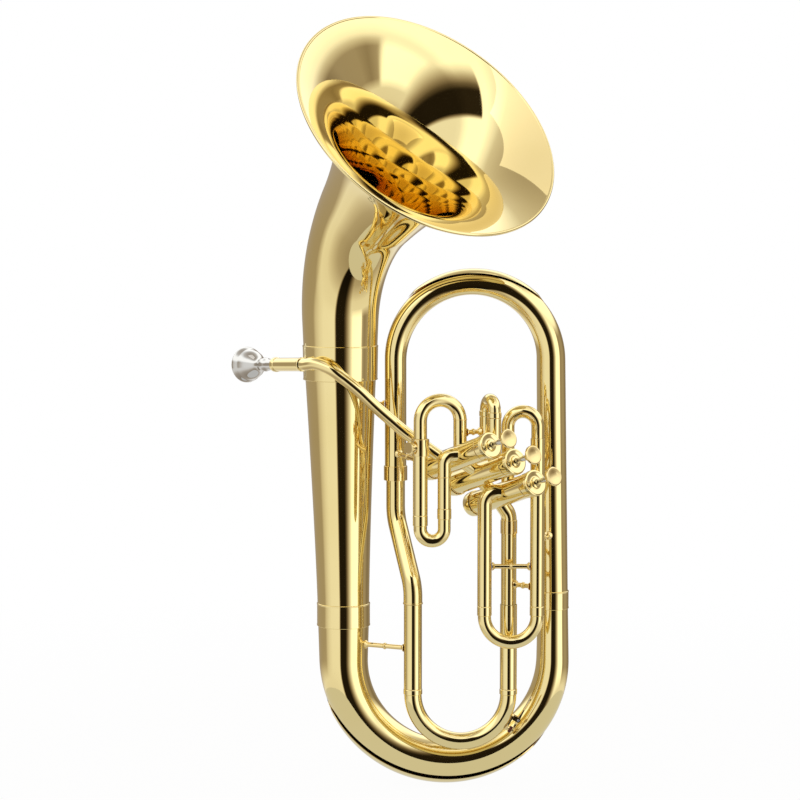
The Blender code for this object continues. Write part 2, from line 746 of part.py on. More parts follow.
def key_block(name, length, width, low, high, place, across, material, collection=horn):
    """A box on the plate of the water key, from one height to another."""
    mesh = bpy.data.meshes.new(name)
    shape = bmesh.new()
    bmesh.ops.create_cube(shape, size=1.0)
    bmesh.ops.scale(shape, vec=(high - low, width, length), verts=shape.verts)
    shape.to_mesh(mesh)
    shape.free()
    item = add(name, mesh, material, collection)
    item.location = key_point(place, across, (low + high) / 2)
    item.rotation_euler = (0, -WATER_KEY_ANGLE, 0)
    return item


def guide_object(item):
    item.hide_render = True
    item.display_type = "WIRE"
    return item


def make_water_key(slide_axis):
    saddle = key_block("water_key_saddle", KEY_PLATE_LENGTH, KEY_LEVER_WIDTH, 0,
                       KEY_PLATE_THICKNESS, 0, 0, LACQUERED_BRASS)
    nipple = turned("key_nipple", [
        (0, KEY_NIPPLE_HEIGHT), (KEY_NIPPLE_RADIUS, KEY_NIPPLE_HEIGHT),
        (KEY_NIPPLE_RADIUS, KEY_PLATE_THICKNESS / 2), (0, KEY_PLATE_THICKNESS / 2),
    ], None, key_point(KEY_NIPPLE_PLACE, 0, 0), key_point(0, 0, 1) - key_point(0, 0, 0),
        sides=12, collection=cutters)
    boolean(saddle, guide_object(nipple), "UNION")
    cheek_across = KEY_LEVER_WIDTH / 2 + JOINT_GAP + KEY_CHEEK_THICKNESS / 2
    for side in (-1, 1):
        foot = key_block(f"key_cheek_foot_{side + 2}", KEY_CHEEK_LENGTH, 2 * JOINT_GAP
                         + KEY_CHEEK_THICKNESS, 0, KEY_PLATE_THICKNESS * 0.8, KEY_PIVOT_PLACE,
                         side * (KEY_LEVER_WIDTH / 2 + KEY_CHEEK_THICKNESS / 2), None, cutters)
        cheek = key_block(f"key_cheek_{side + 2}", KEY_CHEEK_LENGTH * 0.9, KEY_CHEEK_THICKNESS,
                          KEY_PLATE_THICKNESS / 2, KEY_CHEEK_HEIGHT, KEY_PIVOT_PLACE,
                          side * cheek_across, None, cutters)
        boolean(saddle, guide_object(foot), "UNION")
        boolean(saddle, guide_object(cheek), "UNION")
    pin_reach = cheek_across + KEY_CHEEK_THICKNESS
    hole = cylinder_cutter("key_pin_hole", key_point(KEY_PIVOT_PLACE, -2 * pin_reach, KEY_PIVOT_HEIGHT),
                           key_point(KEY_PIVOT_PLACE, 2 * pin_reach, KEY_PIVOT_HEIGHT),
                           KEY_PIN_RADIUS + JOINT_GAP, 10)
    drain = cylinder_cutter("key_drain", key_point(KEY_NIPPLE_PLACE, 0, -2 * MM),
                            key_point(KEY_NIPPLE_PLACE, 0, 2 * KEY_NIPPLE_HEIGHT),
                            KEY_NIPPLE_BORE, 10)
    boolean(saddle, hole)
    boolean(saddle, drain)

    cork_low = KEY_NIPPLE_HEIGHT + JOINT_GAP
    lever_low = cork_low + KEY_CORK_HEIGHT + JOINT_GAP
    cork = turned("water_key_cork", [
        (0, cork_low + KEY_CORK_HEIGHT), (KEY_CORK_RADIUS, cork_low + KEY_CORK_HEIGHT),
        (KEY_CORK_RADIUS, cork_low), (0, cork_low),
    ], CORK, key_point(KEY_NIPPLE_PLACE, 0, 0), key_point(0, 0, 1) - key_point(0, 0, 0), sides=12)
    lever_start = KEY_NIPPLE_PLACE - KEY_CORK_RADIUS
    lever = key_block("water_key_lever", KEY_LEVER_REACH - lever_start, KEY_LEVER_WIDTH, lever_low,
                      lever_low + KEY_LEVER_THICKNESS, (KEY_LEVER_REACH + lever_start) / 2, 0,
                      LACQUERED_BRASS)
    for name, radius, half in (("key_barrel", KEY_BARREL_RADIUS, KEY_LEVER_WIDTH / 2 - 0.1 * MM),
                               ("key_pin", KEY_PIN_RADIUS, pin_reach)):
        part_of_lever = cylinder_cutter(name, key_point(KEY_PIVOT_PLACE, -half, KEY_PIVOT_HEIGHT),
                                        key_point(KEY_PIVOT_PLACE, half, KEY_PIVOT_HEIGHT),
                                        radius, 10)
        boolean(lever, part_of_lever, "UNION")
    pivot = axis_empty("water_key_axis", key_point(KEY_PIVOT_PLACE, 0, KEY_PIVOT_HEIGHT),
                       (0, 1, 0))
    parent_to(pivot, slide_axis)
    parent_to(saddle, slide_axis)
    for piece in (lever, cork):
        parent_to(piece, pivot)


# Valves


def make_valve(index):
    number = index + 1
    foot = VALVE_FEET[index]
    axis = VALVE_AXIS
    bore = CASING_RADIUS - CASING_WALL
    cap_bore = CASING_RADIUS + JOINT_GAP
    casing_low = CAP_THICKNESS + JOINT_GAP
    casing_high = VALVE_LENGTH - CAP_THICKNESS - JOINT_GAP
    turned(f"valve_casing_{number}", sleeve_profile(CASING_RADIUS, bore, casing_low, casing_high),
           LACQUERED_BRASS, foot, axis, closed=True)
    turned(f"bottom_cap_{number}", [
        (0, CAP_THICKNESS), (bore, CAP_THICKNESS), (cap_bore, CAP_THICKNESS),
        (cap_bore, CAP_DEPTH), (CAP_RADIUS, CAP_DEPTH), (CAP_RADIUS, 2.5 * MM),
        (CAP_RADIUS - 1.5 * MM, 0.8 * MM), (CAP_RADIUS - 4 * MM, 0), (0, 0),
    ], LACQUERED_BRASS, foot, axis)
    stem_hole = STEM_RADIUS + JOINT_GAP
    top = VALVE_LENGTH
    turned(f"top_cap_{number}", [
        (stem_hole, top + 1.5 * MM), (5.2 * MM, top + 1.5 * MM), (6.0 * MM, top - 0.6 * MM),
        (9.5 * MM, top - 0.6 * MM), (10.5 * MM, top), (CAP_RADIUS - 1 * MM, top),
        (CAP_RADIUS, top - 1 * MM), (CAP_RADIUS, top - CAP_DEPTH), (cap_bore, top - CAP_DEPTH),
        (cap_bore, top - CAP_THICKNESS), (stem_hole, top - CAP_THICKNESS),
    ], LACQUERED_BRASS, foot, axis, closed=True)

    holder = axis_empty(f"valve_axis_{number}", foot, axis)
    piston_r = bore - JOINT_GAP
    stem_top = VALVE_LENGTH + BUTTON_REACH - BUTTON_THICKNESS - JOINT_GAP
    piston = turned(f"piston_{number}", [
        (0, stem_top), (STEM_RADIUS, stem_top), (STEM_RADIUS, PISTON_TOP_T),
        (PISTON_BARREL_RADIUS, PISTON_TOP_T), (PISTON_BARREL_RADIUS, PISTON_SHOULDER_T),
        (piston_r, PISTON_SHOULDER_T), (piston_r, PISTON_FOOT_T), (0, PISTON_FOOT_T),
    ], NICKEL_PISTON, foot, axis)
    port_places = (PISTON_FOOT_T + 8 * MM, (PISTON_FOOT_T + PISTON_SHOULDER_T) / 2,
                   PISTON_SHOULDER_T - 8 * MM)
    for k, (place, turn) in enumerate(zip(port_places, (0, 60, 120))):
        across = Matrix.Rotation(math.radians(turn), 3, axis) @ axis.orthogonal().normalized()
        middle = foot + axis * place
        hole = cylinder_cutter(f"port_{number}_{k + 1}", middle - across * CAP_RADIUS,
                               middle + across * CAP_RADIUS, PORT_RADIUS, 12)
        boolean(piston, hole)
    face = VALVE_LENGTH + BUTTON_REACH
    back = face - BUTTON_THICKNESS
    button = turned(f"finger_button_{number}", [
        (0, face), (BUTTON_RADIUS - 0.8 * MM, face), (BUTTON_RADIUS, face - 0.8 * MM),
        (BUTTON_RADIUS, face - 2.0 * MM), (BUTTON_RADIUS - 1.2 * MM, face - 3.0 * MM),
        (4.0 * MM, back), (0, back),
    ], LACQUERED_BRASS, foot, axis)
    for piece in (piston, button):
        parent_to(piece, holder)

    low = CAP_THICKNESS + 2 * JOINT_GAP + SPRING_WIRE_RADIUS
    high = PISTON_FOOT_T - 2 * JOINT_GAP - SPRING_WIRE_RADIUS
    side = axis.orthogonal().normalized()
    steps = 6
    route = []
    for k in range(int(SPRING_TURNS * steps) + 1):
        share = k / (SPRING_TURNS * steps)
        spoke = Matrix.Rotation(2 * math.pi * k / steps, 3, axis) @ side
        route.append(foot + axis * (low + (high - low) * share) + spoke * SPRING_RADIUS)
    rod(f"valve_spring_{number}", route, SPRING_WIRE_RADIUS, SPRING_STEEL, sides=4)


def make_knuckle(name, first, second, t):
    item = tube(name, [valve_point(first, t), valve_point(second, t)], KNUCKLE_RADIUS, SLIDE_WALL)
    fit_to_casing(item, first)
    fit_to_casing(item, second)


def make_leadpipe():
    start = RECEIVER_MOUTH + RECEIVER_AXIS * (RECEIVER_LENGTH + JOINT_GAP)
    route = [start, *flowing([start + RECEIVER_AXIS * LEADPIPE_STUB, *LEADPIPE_ROUTE], 2)]
    route.append(valve_point(0, LEADPIPE_ENTRY_T))
    pipe = tube("leadpipe", route, LEADPIPE_R, LEADPIPE_WALL)
    fit_to_casing(pipe, 0)
    turned("mouthpiece_receiver", [
        (RECEIVER_RADIUS, RECEIVER_LENGTH), (RECEIVER_RADIUS, 2 * MM),
        (RECEIVER_RADIUS + 0.5 * MM, 1.6 * MM), (RECEIVER_RADIUS, 0), (SHANK_R_MOUTH + JOINT_GAP, 0),
        (SHANK_R_TIP + JOINT_GAP, RECEIVER_INSERT), (SHANK_R_TIP - 0.5 * MM, RECEIVER_INSERT + 1 * MM),
        (LEADPIPE_R - LEADPIPE_WALL, RECEIVER_LENGTH),
    ], LACQUERED_BRASS, RECEIVER_MOUTH, RECEIVER_AXIS, sides=SLIDE_SIDES, closed=True)


def make_mouthpiece():
    rim = -MOUTHPIECE_REACH
    outside = [
        (16.0 * MM, rim), (18.4 * MM, rim + 0.8 * MM), (MOUTHPIECE_RIM_RADIUS, rim + 3.0 * MM),
        (18.6 * MM, rim + 5.5 * MM), (16.4 * MM, rim + 8.5 * MM), (15.6 * MM, rim + 13 * MM),
        (11.6 * MM, rim + 20.5 * MM), (7.4 * MM, rim + 25.5 * MM), (6.4 * MM, rim + 29 * MM),
        (7.1 * MM, rim + 35 * MM), (6.0 * MM, rim + 44 * MM), (SHANK_R_MOUTH, -1 * MM), (SHANK_R_TIP, RECEIVER_INSERT - 1 * MM),
    ]
    inside = [
        (3.6 * MM, RECEIVER_INSERT - 1 * MM), (2.4 * MM, rim + 28 * MM), (4.6 * MM, rim + 21 * MM),
        (9.4 * MM, rim + 13.5 * MM), (12.4 * MM, rim + 5 * MM), (13.4 * MM, rim + 0.8 * MM),
    ]
    item = turned("mouthpiece", [*outside, *inside][::-1], SILVER_PLATE, RECEIVER_MOUTH,
                  RECEIVER_AXIS, closed=True)
    holder = axis_empty("mouthpiece_axis", RECEIVER_MOUTH, RECEIVER_AXIS)
    parent_to(item, holder)


# Valve loops


def leg(name, place, low, high, radius):
    return turned(name, sleeve_profile(radius, radius - SLIDE_WALL, low, high), LACQUERED_BRASS,
                  place, sides=SLIDE_SIDES, closed=True)


def make_first_loop():
    entry = valve_point(0, FIRST_ENTRY_T)
    back = Vector((entry.x, entry.y, 0))
    route = [entry, *bow(back, FIRST_LEFT, FIRST_BOW_CENTRE_Z, False, 8),
             FIRST_LEFT + Vector((0, 0, FIRST_LEG_TOP_Z + JOINT_GAP))]
    fit_to_casing(tube("first_upper_loop", route, FIRST_LOOP_R, SLIDE_WALL), 0)
    leg("first_leg_left", FIRST_LEFT, FIRST_LEFT_MOUTH_Z, FIRST_LEG_TOP_Z, FIRST_LEG_R)
    route = rounded([
        FIRST_RIGHT + Vector((0, 0, FIRST_RIGHT_MOUTH_Z)),
        FIRST_RIGHT + Vector((0, 0, FIRST_ELBOW_Z)),
        valve_point(0, FIRST_RETURN_T),
    ], 10 * MM, 3)
    fit_to_casing(tube("first_lower_tube", route, FIRST_LOOP_R, SLIDE_WALL), 0)
    inserts = (FIRST_INSERT_LEFT, FIRST_INSERT_RIGHT)
    path = slide_path(FIRST_LEFT, FIRST_RIGHT, FIRST_LEFT_MOUTH_Z, FIRST_RIGHT_MOUTH_Z,
                      FIRST_CROOK_CENTRE_Z, *inserts, count=8)
    slide = make_slide("first_slide", path, inserts,
                       (inner_radius(FIRST_LEG_R), inner_radius(FIRST_LOOP_R)),
                       FIRST_CROOK_RADII, FIRST_FERRULE_LENGTH)
    parent_to(slide, axis_empty("first_slide_axis", FIRST_LEFT, (0, 0, -1)))


def make_second_loop():
    for name, place, foot in (("second_leg_back", SECOND_BACK, SECOND_BACK_FOOT_Z),
                              ("second_leg_front", SECOND_FRONT, SECOND_FRONT_FOOT_Z)):
        fit_to_casing(leg(name, place, foot, SECOND_MOUTH_Z, SECOND_LEG_R), 1)
    inserts = (SECOND_INSERT, SECOND_INSERT)
    path = slide_path(SECOND_BACK, SECOND_FRONT, SECOND_MOUTH_Z, SECOND_MOUTH_Z,
                      SECOND_CROOK_CENTRE_Z, *inserts, down=False, count=8)
    inner = inner_radius(SECOND_LEG_R)
    slide = make_slide("second_slide", path, inserts, (inner, inner),
                       (SECOND_CROOK_R, SECOND_CROOK_R), SECOND_FERRULE_LENGTH)
    parent_to(slide, axis_empty("second_slide_axis", SECOND_BACK, (0, 0, 1)))


def make_third_loop():
    entry = valve_point(2, THIRD_ENTRY_T)
    back = Vector((entry.x, entry.y, 0))
    route = [entry, *bow(back, THIRD_RIGHT, THIRD_BOW_CENTRE_Z, False, 8),
             THIRD_RIGHT + Vector((0, 0, THIRD_LEG_TOP_Z + JOINT_GAP))]
    fit_to_casing(tube("third_upper_loop", route, THIRD_LOOP_R, SLIDE_WALL), 2)
    leg("third_leg_right", THIRD_RIGHT, THIRD_MOUTH_Z, THIRD_LEG_TOP_Z, THIRD_LEG_R)
    route = rounded([
        THIRD_LEFT + Vector((0, 0, THIRD_MOUTH_Z)),
        THIRD_LEFT + Vector((0, 0, THIRD_ELBOW_Z)),
        valve_point(2, THIRD_RETURN_T),
    ], 14 * MM, 3)
    fit_to_casing(tube("third_lower_tube", route, THIRD_LEG_R, SLIDE_WALL), 2)
    inserts = (THIRD_INSERT, THIRD_INSERT)
    path = slide_path(THIRD_LEFT, THIRD_RIGHT, THIRD_MOUTH_Z, THIRD_MOUTH_Z,
                      THIRD_CROOK_CENTRE_Z, *inserts, count=8)
    inner = inner_radius(THIRD_LEG_R)
    slide = make_slide("third_slide", path, inserts, (inner, inner),
                       (THIRD_CROOK_R, THIRD_CROOK_R), THIRD_FERRULE_LENGTH)
    parent_to(slide, axis_empty("third_slide_axis", THIRD_LEFT, (0, 0, -1)))


def make_exit_tube():
    route = rounded([
        valve_point(2, EXIT_T),
        Vector((TUNING_RIGHT_X, TUNING_PLANE_Y, EXIT_BEND_Z)),
        Vector((TUNING_RIGHT_X, TUNING_PLANE_Y, TUNING_LEG_TOP_Z + JOINT_GAP)),
    ], 16 * MM, 3)
    fit_to_casing(tube("valve_exit_tube", route, EXIT_R, SLIDE_WALL), 2)


# Braces


def brace(name, first, first_radius, second, second_radius, z):
    """A rod with a flange at each end, square between the sides of two upright tubes."""
    a = Vector((first.x, first.y, z))
    b = Vector((second.x, second.y, z))
    direction = (b - a).normalized()
    start = a + direction * (first_radius + JOINT_GAP)
    length = (b - a).length - first_radius - second_radius - 2 * JOINT_GAP
    turned(name, [
        (0, length), (FLANGE_RADIUS, length), (FLANGE_RADIUS, length - FLANGE_THICKNESS),
        (ROD_RADIUS, length - 1.8 * FLANGE_THICKNESS), (ROD_RADIUS, 1.8 * FLANGE_THICKNESS),
        (FLANGE_RADIUS, FLANGE_THICKNESS), (FLANGE_RADIUS, 0), (0, 0),
    ], LACQUERED_BRASS, start, direction, sides=12)


def make_braces(top_left_x):
    branch_share = (BELL_BRACE_Z - LEFT_JOINT_Z) / (BELL_JOINT_Z - LEFT_JOINT_Z)
    branch_x = LEG_LEFT_X - BRANCH_LEAN_X * branch_share
    top_left = Vector((top_left_x, 0, 0))
    tuning_left = Vector((TUNING_LEFT_X, TUNING_PLANE_Y, 0))
    exit_leg = Vector((TUNING_RIGHT_X, TUNING_PLANE_Y, 0))
    entry_1 = valve_point(0, FIRST_ENTRY_T)
    brace("bell_to_top_bow_brace", Vector((branch_x, 0, 0)), branch_radius(branch_share),
          top_left, TOP_R_LEFT, BELL_BRACE_Z)
    brace("bow_to_tuning_brace", Vector((LEG_LEFT_X, 0, 0)), BOW_R_LEFT + JOINT_GAP,
          tuning_left, TUNING_R_LEFT, TUNING_BRACE_Z)
    brace("first_to_second_brace", entry_1, FIRST_LOOP_R, SECOND_BACK, SECOND_LEG_R, LOOP_BRACE_Z)
    brace("first_loop_brace", top_left, TOP_R_LEFT, FIRST_LEFT, FIRST_LEG_R, FIRST_BRACE_Z)
    brace("third_leg_brace", THIRD_LEFT, THIRD_LEG_R, THIRD_RIGHT, THIRD_LEG_R, THIRD_BRACE_Z)
    brace("exit_to_third_brace", exit_leg, EXIT_R, THIRD_RIGHT, THIRD_LEG_R, EXIT_BRACE_Z)
    right_x = TOP_LEG_RIGHT_X + (LEG_RIGHT_X - TOP_LEG_RIGHT_X) * (
        TOP_BOW_CENTRE_Z - BRANCH_BRACE_Z) / (TOP_BOW_CENTRE_Z - RIGHT_JOINT_Z)
    brace("third_to_branch_brace", THIRD_RIGHT, THIRD_LEG_R, Vector((right_x, 0, 0)), TOP_R_END,
          BRANCH_BRACE_Z)
    ring = clear_bore(bell_radius_above_joint(0))
    saddle = rod("leadpipe_saddle", [
        Vector((BELL_STEM_X, -ring - FERRULE_THICKNESS / 2, LEADPIPE_BRACE_Z)),
        Vector((BELL_STEM_X, LEADPIPE_BRACE_REACH_Y + JOINT_GAP, LEADPIPE_BRACE_Z)),
    ], [FLANGE_RADIUS, ROD_RADIUS])
    horn.objects.unlink(saddle)
    cutters.objects.link(guide_object(saddle))
    boolean(bpy.data.objects["bell_ferrule"], saddle, "UNION")


def make_lyre_holder():
    place = FIRST_LEFT + Vector((0, 0, LYRE_Z))
    bore = clear_bore(FIRST_LEG_R, SLIDE_SIDES)
    holder = turned("lyre_holder", sleeve_profile(
        LYRE_SLEEVE_R, bore, -LYRE_SLEEVE_HEIGHT / 2, LYRE_SLEEVE_HEIGHT / 2),
        LACQUERED_BRASS, place, sides=SLIDE_SIDES, closed=True)
    middle_of_wall = (LYRE_SLEEVE_R + bore) / 2
    boss = cylinder_cutter("lyre_boss", place + LYRE_DIRECTION * middle_of_wall,
                           place + LYRE_DIRECTION * LYRE_BOSS_REACH, LYRE_BOSS_R, 12)
    screw_hole = cylinder_cutter("lyre_screw_hole", place + LYRE_DIRECTION * FIRST_LEG_R / 2,
                                 place + LYRE_DIRECTION * 2 * LYRE_BOSS_REACH,
                                 LYRE_SCREW_R + JOINT_GAP, 12)
    boolean(holder, boss, "UNION")
    boolean(holder, screw_hole)
    tip = FIRST_LEG_R + 2 * JOINT_GAP
    head = LYRE_BOSS_REACH + JOINT_GAP
    screw = turned("lyre_screw", [
        (0, head + LYRE_KNOB_THICKNESS), (LYRE_KNOB_R, head + LYRE_KNOB_THICKNESS),
        (LYRE_KNOB_R, head), (LYRE_SCREW_R, head), (LYRE_SCREW_R, tip), (0, tip),
    ], LACQUERED_BRASS, place, LYRE_DIRECTION, sides=12)
    parent_to(screw, axis_empty("lyre_screw_axis", place, LYRE_DIRECTION))


top_left_x = make_top_bow()
make_bottom_bow()
make_bell_branch()
make_bell()
make_main_ferrules()
guard("bottom_bow_guard", BOW_CENTRE_Z, 0, BOW_RADIUS,
      lambda angle: bow_radius_at(math.pi / 2 - angle), math.radians(-71), math.radians(52),
      math.radians(64), -1)
guard("top_bow_guard", TOP_BOW_CENTRE_Z, TOP_LEG_RIGHT_X - TOP_BOW_RADIUS, TOP_BOW_RADIUS,
      lambda angle: TOP_R_CROWN + (TOP_R_RIGHT - TOP_R_CROWN) * max(angle, 0) / (math.pi / 2),
      math.radians(-46), math.radians(50), math.radians(60), 1)
make_s_branch(top_left_x)
make_water_key(make_tuning_section())
for valve in range(3):
    make_valve(valve)
make_knuckle("knuckle_1_2", 0, 1, KNUCKLE_1_2_T)
make_knuckle("knuckle_2_3", 1, 2, KNUCKLE_2_3_T)
make_leadpipe()
make_mouthpiece()
make_first_loop()
make_second_loop()
make_third_loop()
make_exit_tube()
make_braces(top_left_x)
make_lyre_holder()
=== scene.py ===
import math

import bpy
from mathutils import Matrix, Vector


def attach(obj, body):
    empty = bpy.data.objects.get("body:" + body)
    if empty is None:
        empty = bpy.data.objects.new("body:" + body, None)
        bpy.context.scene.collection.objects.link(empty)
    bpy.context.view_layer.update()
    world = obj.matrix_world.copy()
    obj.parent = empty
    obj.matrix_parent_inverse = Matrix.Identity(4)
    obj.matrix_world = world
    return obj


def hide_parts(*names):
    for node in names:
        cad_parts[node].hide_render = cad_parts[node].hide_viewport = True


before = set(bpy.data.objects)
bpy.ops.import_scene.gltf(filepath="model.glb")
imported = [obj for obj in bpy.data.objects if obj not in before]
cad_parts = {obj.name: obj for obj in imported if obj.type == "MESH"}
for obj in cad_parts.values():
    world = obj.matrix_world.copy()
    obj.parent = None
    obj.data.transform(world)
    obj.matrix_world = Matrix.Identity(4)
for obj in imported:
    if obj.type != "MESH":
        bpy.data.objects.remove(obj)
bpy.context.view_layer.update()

# Lacquered brass
# Yellow brass tube and sheet, buffed to a mirror and dipped in clear lacquer. The eye
# sees the room in it almost sharply, with a faint waviness from drawing and bending,
# and a warmer yellow wherever one tube shows in another.
MM = 0.001


def linear(code):
    """An sRGB hex value as linear red, green and blue."""
    channels = [int(code[i:i + 2], 16) / 255 for i in (0, 2, 4)]
    return tuple(c / 12.92 if c <= 0.04045 else ((c + 0.055) / 1.055) ** 2.4 for c in channels)


def node(tree, kind, settings=(), values=(), links=()):
    """Adds a shader node with its settings, its socket values and what feeds its sockets."""
    made = tree.nodes.new(kind)
    for name, value in dict(settings).items():
        setattr(made, name, value)
    for socket, value in dict(values).items():
        made.inputs[socket].default_value = value
    for socket, source in dict(links).items():
        tree.links.new(source, made.inputs[socket])
    return made


def new_material(name):
    """An empty Principled material, its node tree and its shader."""
    material = bpy.data.materials.new(name)
    material.use_nodes = True
    return material, material.node_tree, material.node_tree.nodes["Principled BSDF"]


def polished_metal(name, pale, deep, roughness, wave_mm, wave_height, lacquer):
    """A buffed metal whose tone, gloss and surface wander slightly."""
    material, tree, shader = new_material(name)
    where = node(tree, "ShaderNodeTexCoord").outputs["Object"]
    cloud = node(tree, "ShaderNodeTexNoise", values={"Scale": 1 / (90 * MM), "Detail": 3.0},
                 links={"Vector": where})
    tone = node(tree, "ShaderNodeMix", {"data_type": "RGBA"}, {6: (*linear(pale), 1),
                7: (*linear(deep), 1)}, {0: cloud.outputs["Fac"]})
    haze = node(tree, "ShaderNodeTexNoise", values={"Scale": 1 / (14 * MM), "Detail": 4.0},
                links={"Vector": where})
    gloss = node(tree, "ShaderNodeMapRange", values={1: 0.35, 2: 0.75, 3: roughness * 0.8,
                 4: roughness * 1.5}, links={0: haze.outputs["Fac"]})
    wave = node(tree, "ShaderNodeTexNoise", values={"Scale": 1 / (wave_mm * MM), "Detail": 1.0},
                links={"Vector": where})
    bump = node(tree, "ShaderNodeBump", values={"Strength": 1.0, "Distance": wave_height * MM},
                links={"Height": wave.outputs["Fac"]})
    tree.links.new(tone.outputs[2], shader.inputs["Base Color"])
    tree.links.new(gloss.outputs[0], shader.inputs["Roughness"])
    tree.links.new(bump.outputs[0], shader.inputs["Normal"])
    shader.inputs["Metallic"].default_value = 1.0
    shader.inputs["Coat Weight"].default_value = lacquer
    shader.inputs["Coat Roughness"].default_value = 0.04
    return material


lacquered_brass = polished_metal("lacquered yellow brass", "F4E3A8", "EBD794", 0.035, 26, 0.02, 0.3)
fine_brass = polished_metal("lacquered brass small work", "F1DEA4", "E4CA88", 0.07, 9, 0.01, 0.3)

# Bottom bow
# The large half-circle at the foot, bent from tapered tube that narrows from the bell
# side to the other. Its ends run up straight to their ferrules.
MAIN_WALL = 1.0 * MM
BOW_REACH = 110 * MM
BOW_CENTRE_Z = 133.5 * MM
BOW_R_RIGHT = 17.0 * MM
BOW_R_BOTTOM = 22.0 * MM
BOW_R_LEFT = 25.6 * MM
BRANCH_R_BASE = 27.0 * MM
TOP_R_END = 15.8 * MM
LEFT_JOINT_Z = 180 * MM
RIGHT_JOINT_Z = 195.5 * MM
GAP = 0.3 * MM


def smooth_object(name, verts, faces, material):
    """A smooth-shaded object from its corners and faces, with sharp edges kept."""
    mesh = bpy.data.meshes.new(name)
    mesh.from_pydata([tuple(v) for v in verts], [], faces)
    mesh.materials.append(material)
    mesh.shade_smooth()
    mesh.set_sharp_from_angle(angle=math.radians(35))
    item = bpy.data.objects.new(name, mesh)
    bpy.context.scene.collection.objects.link(item)
    return item


def frames_along(route):
    """A direction and a steady side for each point of a route."""
    ahead = [(b - a).normalized() for a, b in zip(route, route[1:])]
    ways = [ahead[0], *[(a + b).normalized() for a, b in zip(ahead, ahead[1:])], ahead[-1]]
    side = ways[0].orthogonal().normalized()
    sides = []
    for before, way in zip([ways[0], *ways], ways):
        side = before.rotation_difference(way) @ side
        side = (side - way * side.dot(way)).normalized()
        sides.append(side)
    return list(zip(ways, sides))


def sweep(name, route, radii, wall, sides=48, material=lacquered_brass):
    """A tube along a route; without a wall it is a solid rod."""
    if not isinstance(radii, (list, tuple)):
        radii = [radii] * len(route)
    frames = frames_along(route)
    verts = []

    def ring(point, way, side, radius):
        other = way.cross(side)
        for k in range(sides):
            turn = 2 * math.pi * k / sides
            verts.append(point + side * radius * math.cos(turn) + other * radius * math.sin(turn))

    for point, (way, side), radius in zip(route, frames, radii):
        ring(point, way, side, radius)
    count = len(route)
    rings = list(range(count))
    if wall:
        for point, (way, side), radius in reversed(list(zip(route, frames, radii))):
            ring(point, way, side, radius - wall)
        rings = [*range(2 * count), 0]
    faces = []
    for a, b in zip(rings, rings[1:]):
        for k in range(sides):
            n = (k + 1) % sides
            faces.append((a * sides + k, a * sides + n, b * sides + n, b * sides + k))
    if not wall:
        faces.append(tuple(reversed(range(sides))))
        faces.append(tuple((count - 1) * sides + k for k in range(sides)))
    return smooth_object(name, verts, faces, material)


def bow(start, end, centre_z, down, count=48):
    """A half-turn between two upright legs."""
    middle = (start + end) / 2
    side = (start - end).normalized()
    reach = (start - end).length / 2
    points = []
    for k in range(count + 1):
        turn = math.pi * k / count
        spot = middle + side * reach * math.cos(turn)
        spot.z = centre_z + reach * math.sin(turn) * (-1 if down else 1)
        points.append(spot)
    return points


def at(x, y, z):
    """A point given in millimetres."""
    return Vector((x, y, z)) * MM


def stands_for(piece, cad_node, body="root"):
    """The piece rides on its body and replaces its plain solid."""
    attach(piece, body)
    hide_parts(cad_node)


def bow_radius(share):
    """Radius of the bottom bow, by the share of the half-turn from the right leg."""
    if share < 0.5:
        return BOW_R_RIGHT + (BOW_R_BOTTOM - BOW_R_RIGHT) * share * 2
    return BOW_R_BOTTOM + (BOW_R_LEFT - BOW_R_BOTTOM) * (share - 0.5) * 2


BOW_STEPS = 80
turn = bow(Vector((BOW_REACH, 0, 0)), Vector((-BOW_REACH, 0, 0)), BOW_CENTRE_Z, True, BOW_STEPS)
route = [Vector((BOW_REACH, 0, RIGHT_JOINT_Z)), *turn, Vector((-BOW_REACH, 0, LEFT_JOINT_Z))]
radii = [TOP_R_END, *[bow_radius(k / BOW_STEPS) for k in range(BOW_STEPS + 1)], BRANCH_R_BASE]
stands_for(sweep("bottom_bow_tube", route, radii, MAIN_WALL, 72), "bottom_bow")

# Bell branch
# The long straight taper that carries the bell, rolled from sheet and drawn over a
# mandrel. It leans out by a few millimetres as it widens.
BRANCH_R_TOP = 37.6 * MM
BRANCH_TAPER_POWER = 1.3
BELL_STEM_X = -112.7 * MM
BELL_JOINT_Z = 445 * MM


def branch_radius(share):
    return BRANCH_R_BASE + (BRANCH_R_TOP - BRANCH_R_BASE) * share ** BRANCH_TAPER_POWER


low = Vector((-BOW_REACH, 0, LEFT_JOINT_Z + GAP))
high = Vector((BELL_STEM_X, 0, BELL_JOINT_Z - GAP))
shares = [k / 24 for k in range(25)]
stands_for(sweep("bell_branch_tube", [low.lerp(high, s) for s in shares],
                 [branch_radius(s) for s in shares], MAIN_WALL, 72), "bell_branch")

# Bell
# Spun and hammered from one sheet: a stem, a neck bent forward and to the left of the
# player, and the wide flare. The edge is rolled back over a wire, which leaves a round
# bead with a seam on its outside.
FORWARD_TURN = math.radians(35)
BELL_RISE = math.radians(39.6)
STEM_LENGTH = 45 * MM
BEND_RADIUS = 150 * MM
FLARE_LENGTH = 132.5 * MM
RIM_RADIUS = 140 * MM
THROAT_RADIUS = 30.7 * MM
FLARE_SCALE = 85 * MM
FLARE_POWER = 1.76
BEAD_RADIUS = 1.7 * MM


def bell_radius(distance):
    flare = (FLARE_SCALE / (max(distance, 0) + FLARE_SCALE)) ** FLARE_POWER
    return THROAT_RADIUS + (RIM_RADIUS - THROAT_RADIUS) * flare


def run_of(route):
    """Distance along a route at each of its points."""
    run = [0.0]
    for a, b in zip(route, route[1:]):
        run.append(run[-1] + (b - a).length)
    return run


